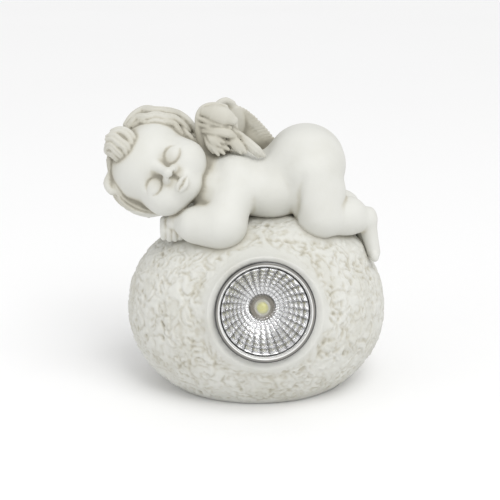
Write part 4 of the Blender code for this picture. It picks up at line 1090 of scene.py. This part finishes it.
# %% [markdown]
# ## Node trees in short form
# Both the stone's relief and the finishes are node trees. `Wire` lets the outputs of nodes be added
# and multiplied in Python, which adds the Math nodes, and `Board.node` makes any other node from
# its type, its settings and what goes into its sockets.

# %% Wires and boards
class Wire:
    """A node's output that takes part in arithmetic."""

    def __init__(self, board, socket):
        self.board = board
        self.socket = socket

    def math(self, operation, first, second=0.0):
        return self.board.node("ShaderNodeMath", {"operation": operation}, {0: first, 1: second})

    def __add__(self, other):
        return self.math("ADD", self, other)

    def __radd__(self, other):
        return self.math("ADD", other, self)

    def __sub__(self, other):
        return self.math("SUBTRACT", self, other)

    def __rsub__(self, other):
        return self.math("SUBTRACT", other, self)

    def __mul__(self, other):
        return self.math("MULTIPLY", self, other)

    def __rmul__(self, other):
        return self.math("MULTIPLY", other, self)

    def __truediv__(self, other):
        return self.math("DIVIDE", self, other)

    def __abs__(self):
        return self.math("ABSOLUTE", self)

    def fraction(self):
        return self.math("FRACT", self)

    def power(self, exponent):
        return self.math("POWER", self, exponent)

    def cos(self):
        return self.math("COSINE", self)

    def sin(self):
        return self.math("SINE", self)

    def step(self, low, high):
        """0 below low, 1 above high and a soft step between them."""
        sockets = {"Value": self, "From Min": low, "From Max": high}
        return self.board.node("ShaderNodeMapRange", {"interpolation_type": "SMOOTHSTEP"}, sockets)


class Board:
    """A node tree that is being wired up."""

    def __init__(self, tree):
        self.tree = tree

    def node(self, kind, settings, sockets, out=0):
        made = self.tree.nodes.new(kind)
        for key, value in settings.items():
            setattr(made, key, value)
        for key, value in sockets.items():
            if isinstance(value, Wire):
                self.tree.links.new(value.socket, made.inputs[key])
            else:
                made.inputs[key].default_value = value
        return Wire(self, made.outputs[out])

    def noise(self, where, scale, detail=2.0):
        return self.node("ShaderNodeTexNoise", {},
                         {"Vector": where, "Scale": scale, "Detail": detail})


# %% [markdown]
# A geometry tree has named inputs for its sizes. They are set on the modifier by each socket's own
# identifier, and the result is worked into a plain mesh, so no live modifier is left.

# %% Geometry trees
class Growth(Board):
    """A geometry node tree with named sizes."""

    def __init__(self, name, sizes):
        super().__init__(bpy.data.node_groups.new(name, "GeometryNodeTree"))
        self.sizes = sizes
        face = self.tree.interface
        face.new_socket("Geometry", in_out="INPUT", socket_type="NodeSocketGeometry")
        for key, value in sizes.items():
            kind = "NodeSocketInt" if isinstance(value, int) else "NodeSocketFloat"
            face.new_socket(key, in_out="INPUT", socket_type=kind)
        face.new_socket("Geometry", in_out="OUTPUT", socket_type="NodeSocketGeometry")
        start = self.tree.nodes.new("NodeGroupInput")
        self.given = {socket.name: Wire(self, socket) for socket in start.outputs if socket.name}

    def stored(self, geometry, name, value):
        sockets = {"Geometry": geometry, "Name": name, "Value": value}
        return self.node("GeometryNodeStoreNamedAttribute",
                         {"data_type": "FLOAT", "domain": "POINT"}, sockets)

    def finish(self, geometry, material):
        real = self.node("GeometryNodeRealizeInstances", {}, {0: geometry})
        painted = self.node("GeometryNodeSetMaterial", {}, {0: real, "Material": material})
        self.tree.links.new(painted.socket, self.tree.nodes.new("NodeGroupOutput").inputs[0])

    def grown(self, obj):
        """obj with this tree worked into its mesh."""
        modifier = obj.modifiers.new(self.tree.name, "NODES")
        modifier.node_group = self.tree
        for item in self.tree.interface.items_tree:
            if item.in_out == "INPUT" and item.name in self.sizes:
                modifier[item.identifier] = self.sizes[item.name]
        return settled(obj)


# %% [markdown]
# A material starts as Blender's Principled shader. What is the same all over is set on the shader
# itself, and what changes over the surface is wired to it. `attribute` reads a number that a mesh
# keeps at each point.

# %% Finishes
class Finish(Board):
    """A material whose varying parts are wired to its shader."""

    def __init__(self, name, fixed):
        self.material = bpy.data.materials.new(name)
        self.material.use_nodes = True
        super().__init__(self.material.node_tree)
        self.shader = self.tree.nodes["Principled BSDF"]
        for key, value in fixed.items():
            self.shader.inputs[key].default_value = value
        self.place = self.node("ShaderNodeTexCoord", {}, {}, out="Object")

    def attribute(self, name):
        return self.node("ShaderNodeAttribute", {"attribute_name": name}, {}, out="Fac")

    def mixed(self, share, first, second):
        sockets = {0: share, 6: first, 7: second}
        return self.node("ShaderNodeMix", {"data_type": "RGBA"}, sockets, out=2)

    def feed(self, **wires):
        for key, wire in wires.items():
            self.tree.links.new(wire.socket, self.shader.inputs[key.replace("_", " ")])

    def bump(self, height, distance):
        sockets = {"Distance": distance, "Height": height}
        self.feed(Normal=self.node("ShaderNodeBump", {}, sockets, out="Normal"))


# %% [markdown]
# ## The resin
# The casting is off-white with a greenish-beige wash that a rag has wiped off the high places.
# Painters would call it an antique finish. The mesh tells where the hollows are: each point keeps a
# number `wash`, worked out further down, which also holds painted shade where the two pieces meet
# and over the wings and the hair, and noise breaks it up so that it looks wiped by hand.
# Fine noise roughens the skin a little.

# %% Resin finishes
RESIN = (0.675, 0.675, 0.635, 1.0)
RESIN_SHADE = (0.61, 0.605, 0.55, 1.0)
BEIGE = (0.47, 0.44, 0.35, 1.0)
BROWN = (0.17, 0.155, 0.12, 1.0)
CLOUD_SCALE = 90.0
FINE_SCALE = 900.0
GRAIN_SCALE = 2600.0


def resin(name, mottle, grain_height):
    """The wiped resin, with so much mottle in its colour and its grain so deep in metres."""
    coat = Finish(name, {"Specular IOR Level": 0.4, "Subsurface Weight": 0.0})
    broad = coat.noise(coat.place, CLOUD_SCALE, 3.0)
    fine = coat.noise(coat.place, FINE_SCALE, 3.0)
    # The wash number also holds painted shade, so BEIGE and BROWN paint shade there as well as
    # wash.
    wash_and_shade = coat.attribute("wash") * (0.7 + 0.6 * broad)
    body = coat.mixed(mottle * broad.step(0.4, 0.7), RESIN, RESIN_SHADE)
    rubbed = coat.mixed(0.75 * wash_and_shade.step(0.05, 0.8), body, BEIGE)
    stained_and_shaded = coat.mixed(0.8 * wash_and_shade.step(0.55, 1.25), rubbed, BROWN)
    coat.feed(Base_Color=stained_and_shaded, Roughness=0.5 + 0.2 * fine + 0.1 * wash_and_shade)
    coat.bump(fine + 0.4 * coat.noise(coat.place, GRAIN_SCALE), grain_height)
    return coat.material


smooth_resin = resin("wiped_resin", 0.35, 0.00004)
rough_resin = resin("rough_resin", 0.7, 0.00012)

# %% [markdown]
# ## The stone's relief
# The stone's skin is like bark: short crooked ridges and shallow pits, one to three millimetres
# across and a few tenths deep, dying out around the lamp and flat underneath. A geometry tree moves
# each point along its normal. Folded noise makes the crooked lines, in a broad size and a fine one,
# a cell pattern makes the pits, and plain noise swells the skin between them.

# %% Relief tree
PATCH_SCALE = 110.0
SWELL_SCALE = 190.0
RELIEF = {"Ridge depth": 0.46 * MM, "Pit depth": 0.40 * MM, "Fleck depth": 0.26 * MM,
          "Ridge scale": 165.0, "Fleck scale": 420.0, "Pit scale": 230.0,
          "Wander": 1.3, "Seed": 4.0}


def relief_tree():
    growth = Growth("stone_relief", RELIEF)
    given = growth.given
    place = growth.node("GeometryNodeInputPosition", {}, {})
    mask = growth.node("GeometryNodeInputNamedAttribute", {"data_type": "FLOAT"}, {"Name": "rough"})

    def folds(scale, width):
        """1 along the crooked lines where a noise is at its mean, 0 further away than width."""
        sockets = {"Vector": place, "W": given["Seed"], "Scale": scale, "Detail": 2.0,
                   "Distortion": given["Wander"]}
        noise = growth.node("ShaderNodeTexNoise", {"noise_dimensions": "4D"}, sockets)
        return 1 - abs(noise - 0.5).step(0.0, width)

    sockets = {"Vector": place, "W": given["Seed"], "Scale": given["Pit scale"], "Smoothness": 0.5}
    cells = growth.node("ShaderNodeTexVoronoi",
                        {"voronoi_dimensions": "4D", "feature": "SMOOTH_F1"}, sockets)
    where = growth.noise(place, PATCH_SCALE)
    pit = (1 - cells.step(0.15, 0.6)) * where.step(0.42, 0.6)
    swell = growth.noise(place, SWELL_SCALE) - 0.5
    flecks = folds(given["Fleck scale"], 0.12) * where.step(0.35, 0.65)
    height = given["Ridge depth"] * (1.2 * swell - folds(given["Ridge scale"], 0.13))
    height = height - given["Pit depth"] * pit - given["Fleck depth"] * flecks
    normal = growth.node("GeometryNodeInputNormal", {}, {})
    move = growth.node("ShaderNodeVectorMath", {"operation": "SCALE"},
                       {0: normal, "Scale": height * mask})
    moved = growth.node("GeometryNodeSetPosition", {},
                        {"Geometry": given["Geometry"], "Offset": move})
    growth.finish(moved, rough_resin)
    return growth


# %% [markdown]
# The mask `rough` is 1 over most of the stone. It falls to 0 in a ring around the lamp, in its
# pocket and under the stone, and it is lower right next to the figure, where the real casting is
# smoother.

# %% Make the stone
def points_of(obj):
    co = np.empty(len(obj.data.vertices) * 3, np.float32)
    obj.data.vertices.foreach_get("co", co)
    return co.reshape(-1, 3) / MM


def keep_number(obj, name, values):
    layer = obj.data.attributes.new(name, "FLOAT", "POINT")
    layer.data.foreach_set("value", np.asarray(values, np.float32))


def soft_step(x, low, high):
    t = np.clip((x - low) / (high - low), 0, 1)
    return t * t * (3 - 2 * t)


def distance_to(obj, points, reach):
    """How far each point is from the nearest point of obj, at most reach."""
    there = points_of(obj)
    tree = KDTree(len(there))
    for number, spot in enumerate(there):
        tree.insert(spot, number)
    tree.balance()
    near = (points > there.min(0) - reach).all(1) & (points < there.max(0) + reach).all(1)
    out = np.full(len(points), float(reach))
    for number in np.flatnonzero(near):
        out[number] = min(reach, tree.find(points[number])[2])
    return out


def lamp_radius(points):
    """Each point's distance from the lamp's axis, and its height along it."""
    local = (points - np.array(LAMP_AT)) @ lamp_axes()
    return np.hypot(local[:, 0], local[:, 1]), local[:, 2]


BEHIND_LAMP = -20.0
FAR_AWAY = 99.0
SEAT_EDGE = LAMP_DIAMETER / 2 + 1.5
ROUGH_EDGE = LAMP_DIAMETER / 2 + 7.5
LEAST_ROUGH = 0.25
side = STONE_LENGTH / 2 + 5
face = STONE_DEPTH / 2 + 8
low = (-side, -face, -2 * STONE_GRAIN)
high = (side, face, STONE_HEIGHT + 4)
block = carved("rough_stone", whole_stone(), low, high, STONE_GRAIN)
points = points_of(block)
radius, height = lamp_radius(points)
away = np.where(height > BEHIND_LAMP, radius, FAR_AWAY)
rough = soft_step(away, SEAT_EDGE, ROUGH_EDGE) * soft_step(points[:, 2], 0.2, 2.5)
rough *= LEAST_ROUGH + (1 - LEAST_ROUGH) * soft_step(distance_to(sleeper, points, 4.0), 0.3, 3.0)
keep_number(block, "rough", rough)
relief_tree().grown(block)
thinned(block, MOST_TRIANGLES)

# %% [markdown]
# ## Where the wash and the painted shade go
# A point lies in a hollow if the mesh around it, smoothed, passes above it. Smoothing a copy a few
# times finds fine furrows, and many times finds broad folds. Beside the other piece painted shade
# is added, where the figure and the stone meet, and points on the wings and the hair get a veil
# that is partly wash and partly painted shade.

# %% Hollows
WASH_ROUNDS = (4, 16, 60)
BUSY_ROUNDS = 120
KEPT_SHARE = 0.4
# Painted shade beside the other piece, where the figure and the stone meet.
CONTACT_PAINTED_SHADE = 0.45
# Veils on the wings and the hair, partly wash and partly painted shade.
WING_WASH_AND_SHADE = 0.42
HAIR_WASH_AND_SHADE = 0.22
WINGS_ABOVE = 84
HAIR_ABOVE = 70


def averaged(obj, values, rounds):
    """The values, a row for each point of obj, averaged so many times with those beside it."""
    ends = np.empty(len(obj.data.edges) * 2, np.int32)
    obj.data.edges.foreach_get("vertices", ends)
    a, b = ends.reshape(-1, 2).T
    count = len(values)
    links = np.maximum(np.bincount(np.concatenate([a, b]), minlength=count), 1)[:, None]
    for _ in range(rounds):
        total = np.stack([np.bincount(a, v[b], count) + np.bincount(b, v[a], count)
                          for v in values.T], 1)
        values = KEPT_SHARE * values + (1 - KEPT_SHARE) * total / links
    return values


def hollows(obj, rounds):
    """How many millimetres each point lies below the skin smoothed by each number of rounds."""
    normals = np.empty(len(obj.data.vertices) * 3, np.float32)
    obj.data.vertices.foreach_get("normal", normals)
    start = points_of(obj)
    smooth = start
    out = []
    for before, after in zip((0, *rounds), rounds):
        smooth = averaged(obj, smooth, after - before)
        out.append(np.maximum(((smooth - start) * normals.reshape(-1, 3)).sum(1), 0))
    return out


def closeness(points, form, low):
    """1 for the points above the level low on the form's skin, 0 further away than 1.2 mm."""
    out = np.zeros(len(points))
    there = np.flatnonzero(points[:, 2] > low)
    for some in np.array_split(there, max(1, len(there) // 4000)):
        p = points[some].astype(np.float32)
        middle = (p.max(0) + p.min(0)) / 2
        spread = np.linalg.norm(p - middle, axis=1).max()
        out[some] = 1 - soft_step(form.measure(p, middle.astype(float), float(spread)), 0.2, 1.2)
    return out


def wash(obj, other, fine_gain, broad_gain, busy_gain, extra=0.0):
    """Keep at each point of obj how much wash lies in its furrows, its folds and its busy parts.

    Painted shade is added beside the other piece, and extra adds more, partly painted shade.
    """
    fine, middle, broad = hollows(obj, WASH_ROUNDS)
    # Painted shade: darker within a few millimetres of the other piece, where the two meet.
    beside = 1 - soft_step(distance_to(other, points_of(obj), 3.0), 0.3, 2.6)
    busy = averaged(obj, np.minimum(fine, 0.1)[:, None], BUSY_ROUNDS)[:, 0]
    busy = np.clip(busy / np.percentile(busy, 97), 0, 1) ** 1.5
    value = fine_gain * (fine + 0.5 * middle) + broad_gain * broad + busy_gain * busy
    value = value + CONTACT_PAINTED_SHADE * beside + extra
    value = averaged(obj, np.clip(value, 0, 1)[:, None], 2)[:, 0]
    keep_number(obj, "wash", value)
    print(obj.name, "mean wash", round(float(value.mean()), 3))


# %% The wash and the painted shade on both pieces
spots = points_of(sleeper)
locks = on_stone(lying(hair(bare_head())))
# The wings and the hair get a veil, partly wash and partly painted shade, so that they lie darker.
wash_and_shade_veil = WING_WASH_AND_SHADE * closeness(spots, on_stone(wings()), WINGS_ABOVE)
wash_and_shade_veil = wash_and_shade_veil + HAIR_WASH_AND_SHADE * closeness(spots, locks, HAIR_ABOVE)
wash(sleeper, block, 3.3, 0.6, 0.6, wash_and_shade_veil)
wash(block, sleeper, 2.6, 1.1, 0.1)
sleeper.data.materials.append(smooth_resin)
for piece in (sleeper, block):
    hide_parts("angel_on_stone")
    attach(piece, "root")

# %% [markdown]
# ## The lamp's turned pieces
# The ring, the clear cover and the diode are round, so each is a profile turned about the lamp's
# axis. Each point keeps its `radius`, in millimetres, which lets a finish change colour from ring
# to ring.

# %% Turning
SHARP_ANGLE = math.radians(35)


def turned(name, profile, segments, material):
    """A closed solid made by turning a profile of (radius, height) about the lamp's axis."""
    bm = bmesh.new()
    layer = bm.verts.layers.float.new("radius")
    rings = []
    for radius, height in profile:
        ring = []
        for i in range(segments if radius else 1):
            a = 2 * math.pi * i / segments
            vert = bm.verts.new((radius * math.cos(a) * MM, radius * math.sin(a) * MM, height * MM))
            vert[layer] = radius
            ring.append(vert)
        rings.append(ring)
    pairs = list(zip(rings, rings[1:]))
    if profile[0][0]:
        pairs.append((rings[-1], rings[0]))
    for one, two in pairs:
        for i in range(segments):
            j = (i + 1) % segments
            corners = [one[i % len(one)], one[j % len(one)], two[j % len(two)], two[i % len(two)]]
            corners = list(dict.fromkeys(corners))
            if len(corners) > 2:
                bm.faces.new(corners)
    bmesh.ops.recalc_face_normals(bm, faces=bm.faces)
    bm.transform(lamp_place())
    mesh = bpy.data.meshes.new(name)
    bm.to_mesh(mesh)
    bm.free()
    mesh.shade_smooth()
    mesh.set_sharp_from_angle(angle=SHARP_ANGLE)
    mesh.materials.append(material)
    print(name, "has", len(mesh.polygons), "faces")
    return linked(name, mesh)


def stands_for(piece, node):
    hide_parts(node)
    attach(piece, "root")


def arc(cx, cz, radius, first_deg, last_deg, steps):
    angles = np.radians(np.linspace(first_deg, last_deg, steps))
    return [(cx + radius * math.cos(a), cz + radius * math.sin(a)) for a in angles]


# %% [markdown]
# The ring is smoky grey plastic. Its colour is painted nearly black at its outer edge, a painted
# shadow and dark reflection where it meets the stone, and a painted highlight runs along its
# bright inner lip. It stands a little over two millimetres proud of the stone and holds the cover
# by a ledge.

# %% The ring
outer = LAMP_DIAMETER / 2
inner = outer - BEZEL_RIM


def ring_finish():
    smoke = Finish("smoky_plastic", {"IOR": 1.5, "Coat Weight": 0.6, "Coat Roughness": 0.08})
    radius = smoke.attribute("radius")
    cloud = smoke.noise(smoke.place, 300.0)
    grey = smoke.mixed(cloud, (0.16, 0.155, 0.14, 1), (0.27, 0.26, 0.24, 1))
    # Painted highlight: a pale band along the inner lip, where the glossy edge catches light.
    with_painted_highlight = smoke.mixed(1 - radius.step(inner + 0.3, inner + 0.55), grey, (0.80, 0.80, 0.78, 1))
    # Painted shadow and dark reflection: nearly black at the outer edge, beside the stone.
    with_painted_shadow = smoke.mixed(radius.step(outer - 0.7, outer - 0.3), with_painted_highlight,
                            (0.012, 0.012, 0.011, 1))
    smoke.feed(Base_Color=with_painted_shadow, Roughness=0.16 + 0.12 * cloud)
    return smoke.material


ledge = inner - BEZEL_LEDGE
round_off = BEZEL_RIM * 0.45
profile = [(ledge, COVER_BACK - GAP), (inner, COVER_BACK - GAP),
           (inner, BEZEL_HEIGHT - round_off * 0.6)]
profile += arc(inner + round_off * 0.5, BEZEL_HEIGHT - round_off * 0.5, round_off * 0.5, 170, 95, 5)
profile += arc(outer - round_off, BEZEL_HEIGHT - round_off, round_off, 90, 0, 8)
profile += [(outer, 0.0), (SKIRT_DIAMETER / 2, 0.0), (SKIRT_DIAMETER / 2, -BEZEL_SKIRT),
            (ledge, -BEZEL_SKIRT)]
stands_for(turned("smoky_ring", profile, SEGMENTS, ring_finish()), "light_bezel")

# %% [markdown]
# The cover is a thin clear disc. Clear plastic is set on the shader's own values, so that the
# export keeps it. Part of it is plain see-through, which lets the lights reach the reflector behind
# it.

# %% The cover
def clear_finish():
    clear = Finish("clear_plastic",
                   {"Base Color": (0.97, 0.98, 0.98, 1), "IOR": 1.46, "Transmission Weight": 1.0,
                                     "Alpha": 0.25})
    clear.feed(Roughness=0.01 + 0.05 * clear.noise(clear.place, 140.0, 3.0))
    return clear.material


BEVEL = 0.25
rim = COVER_DIAMETER / 2
front = COVER_BACK + COVER_THICKNESS
profile = [(0, COVER_BACK), (rim, COVER_BACK), (rim, front - BEVEL),
           (rim - BEVEL, front), (0, front)]
stands_for(turned("clear_cover", profile, SEGMENTS, clear_finish()), "light_cover")

# %% [markdown]
# ## The reflector
# The reflector is a bowl of bright metallised plastic, pressed into thirty sectors of small
# pillows. A geometry tree bends a flat grid into the bowl: one side of the grid runs round it and
# the other from throat to mouth, and each facet swells a little towards the axis. The points keep a
# number `groove`, 1 along the borders of the facets, where the finish paints the metal dark grey as
# painted shade and dark reflection in the grooves. The shown mouth reaches under the ring by
# `MOUTH_REACH` and the shown wall is thin, so that no dark gap is seen beside the ring.

# %% Reflector tree
MOUTH_REACH = 0.5
SHOWN_WALL = 0.25 * REFLECTOR_WALL
FACET_CUTS = 6


def mirror_finish():
    mirror = Finish("bright_metal", {"Metallic": 1.0})
    groove = mirror.attribute("groove")
    haze = mirror.noise(mirror.place, 420.0)
    metal = mirror.mixed(haze, (0.93, 0.93, 0.94, 1), (0.98, 0.98, 0.98, 1))
    # Painted shade and dark reflection: the facet borders are darkened grey.
    colour = mirror.mixed(groove.power(1.3), metal, (0.27, 0.27, 0.275, 1))
    mirror.feed(Base_Color=colour, Roughness=0.14 + 0.12 * haze)
    return mirror.material


def reflector_tree(material):
    mouth = LAMP_DIAMETER / 2 - BEZEL_RIM - BEZEL_LEDGE - GAP - REFLECTOR_WALL + MOUTH_REACH
    growth = Growth("reflector_bowl",
                    {"Sectors": REFLECTOR_SECTORS, "Rings": REFLECTOR_RINGS, "Cuts": FACET_CUTS,
                                       "Throat": REFLECTOR_THROAT / 2 * MM, "Mouth": mouth * MM,
                                       "Depth": REFLECTOR_DEPTH * MM,
                     "Top": (COVER_BACK - GAP) * MM,
                                       "Bulge": 0.26 * MM})
    given = growth.given
    sectors = given["Sectors"]
    rings = given["Rings"]
    sockets = {"Size X": 1.0, "Size Y": 1.0,
               "Vertices X": sectors * given["Cuts"] + 1, "Vertices Y": rings * given["Cuts"] + 1}
    grid = growth.node("GeometryNodeMeshGrid", {}, sockets)
    place = growth.node("GeometryNodeInputPosition", {}, {})
    x = growth.node("ShaderNodeSeparateXYZ", {}, {0: place}, out=0) + 0.5
    y = growth.node("ShaderNodeSeparateXYZ", {}, {0: place}, out=1) + 0.5
    across = abs((x * sectors).fraction() * 2 - 1)
    along = abs((y * rings).fraction() * 2 - 1)
    pillow = (1 - across * across) * (1 - along * along)
    seam = 1 - (1 - across.step(0.45, 0.95)) * (1 - 0.75 * along.step(0.55, 1.0)
                                                * (1 - y.step(0.96, 0.99)))
    radius = given["Throat"] + (given["Mouth"] - given["Throat"]) * y - given["Bulge"] * pillow
    height = given["Top"] - given["Depth"] * (1 - y * y) + given["Bulge"] * pillow
    turn = x * 2 * math.pi
    spot = growth.node("ShaderNodeCombineXYZ", {},
                       {0: radius * turn.cos(), 1: radius * turn.sin(), 2: height})
    # The groove number marks the facet borders, which the finish darkens as painted shade.
    kept = growth.stored(grid, "groove", seam)
    bowl = growth.node("GeometryNodeSetPosition", {}, {"Geometry": kept, "Position": spot})
    closed = growth.node("GeometryNodeMergeByDistance", {},
                         {"Geometry": bowl, "Distance": 0.000002})
    growth.finish(closed, material)
    return growth


# %% Make the reflector
cup = linked("faceted_reflector", bpy.data.meshes.new("faceted_reflector"))
reflector_tree(mirror_finish()).grown(cup)
wall = cup.modifiers.new("Wall", "SOLIDIFY")
wall.thickness = SHOWN_WALL * MM
wall.offset = -1.0
settled(cup)
cup.data.transform(lamp_place())
bm = bmesh.new()
bm.from_mesh(cup.data)
if bm.calc_volume(signed=True) < 0:
    bmesh.ops.reverse_faces(bm, faces=bm.faces)
print("reflector volume in cubic mm", round(bm.calc_volume(signed=True) * 1e9, 1))
bm.to_mesh(cup.data)
bm.free()
cup.data.shade_smooth()
stands_for(cup, "light_reflector")

# %% [markdown]
# ## The diode
# In the throat sits a brownish collar with fine turned rings, and in its middle a yellow phosphor
# dot under a clear dome with a pale edge. One turned piece carries all of it, and its finish goes
# by radius.

# %% The diode
PHOSPHOR_RADIUS = 1.9
dome = LED_DOME / 2


def diode_finish():
    glow = Finish("phosphor_and_collar", {"IOR": 1.5, "Coat Weight": 1.0, "Coat Roughness": 0.05})
    radius = glow.attribute("radius")
    grain = glow.noise(glow.place, 1500.0)
    collar = glow.mixed(grain, (0.20, 0.18, 0.145, 1), (0.34, 0.31, 0.26, 1))
    pale = glow.mixed(1 - radius.step(dome + 0.3, dome + 0.7), collar, (0.74, 0.73, 0.66, 1))
    phosphor = glow.mixed(grain, (0.62, 0.60, 0.18, 1), (0.86, 0.85, 0.45, 1))
    dot = 1 - radius.step(PHOSPHOR_RADIUS, PHOSPHOR_RADIUS + 0.3)
    glow.feed(Base_Color=glow.mixed(dot, pale, phosphor), Roughness=0.25 + 0.25 * grain)
    return glow.material


floor_level = COVER_BACK - GAP - REFLECTOR_DEPTH - LED_COLLAR_HEIGHT
top = floor_level + LED_COLLAR_HEIGHT + 0.6
collar = REFLECTOR_THROAT / 2 - GAP
rise = dome * 0.6
turns = 9
profile = [(0, floor_level), (collar, floor_level)]
profile += [(collar - (collar - dome) * i / turns, top - 0.12 * (i % 2)) for i in range(turns)]
profile += [(dome, top)]
profile += [(dome * math.cos(a), top + rise * math.sin(a))
            for a in np.radians(np.arange(12, 90, 12))]
profile += [(0, top + rise)]
stands_for(turned("yellow_diode", profile, SEGMENTS // 2, diode_finish()), "led")

# %% [markdown]
# ## Floor, lights and camera
# There is a pale floor, a soft high light from the front right, a panel in front, a weaker one at
# the left and a white sky, with the camera at the photograph's angle. The lamp's reflector shows
# them in its facets.

# %% Floor
FLOOR_REACH = 4.0
corners = [(x * FLOOR_REACH, y * FLOOR_REACH, 0) for x, y in ((-1, -1), (1, -1), (1, 1), (-1, 1))]
sheet = bpy.data.meshes.new("floor")
sheet.from_pydata(corners, [], [(0, 1, 2, 3)])
paper = Finish("pale_paper", {"Specular IOR Level": 0.1})
cloud = paper.noise(paper.place, 3.0)
paper.feed(Base_Color=paper.mixed(cloud, (0.92, 0.92, 0.92, 1), (0.94, 0.94, 0.94, 1)))
sheet.materials.append(paper.material)
linked("floor", sheet)

# %% Lights and camera
LIT_SPOT = (0, 0, 0.06)
AIM = Vector((-0.0024, 0.0, 0.0509))
RISE = math.radians(16.0)
DISTANCE = 0.5


def aimed(obj, place, target):
    obj.location = place
    obj.rotation_euler = (Vector(target) - Vector(place)).to_track_quat("-Z", "Y").to_euler()


def light(name, kind, place, power, **sizes):
    lamp = bpy.data.lights.new(name, kind)
    lamp.energy = power
    for key, value in sizes.items():
        setattr(lamp, key, value)
    aimed(linked(name, lamp), place, LIT_SPOT)


light("high_light", "SUN", (0.5, -0.8, 1.6), 1.08, angle=math.radians(40))
light("front_panel", "AREA", (0.25, -0.75, 0.75), 1.5, size=0.35)
light("left_panel", "AREA", (-0.75, -0.45, 0.40), 0.6, size=0.4)
world = bpy.data.worlds.new("studio")
world.use_nodes = True
sky = world.node_tree.nodes["Background"]
sky.inputs["Color"].default_value = (1, 1, 1, 1)
sky.inputs["Strength"].default_value = 0.72
bpy.context.scene.world = world

camera = bpy.data.cameras.new("camera")
camera.lens = 95.0
camera.clip_start = 0.01
view = linked("camera", camera)
aimed(view, AIM + Vector((0, -math.cos(RISE), math.sin(RISE))) * DISTANCE, AIM)
bpy.context.scene.camera = view
bpy.context.scene.view_settings.view_transform = "Standard"
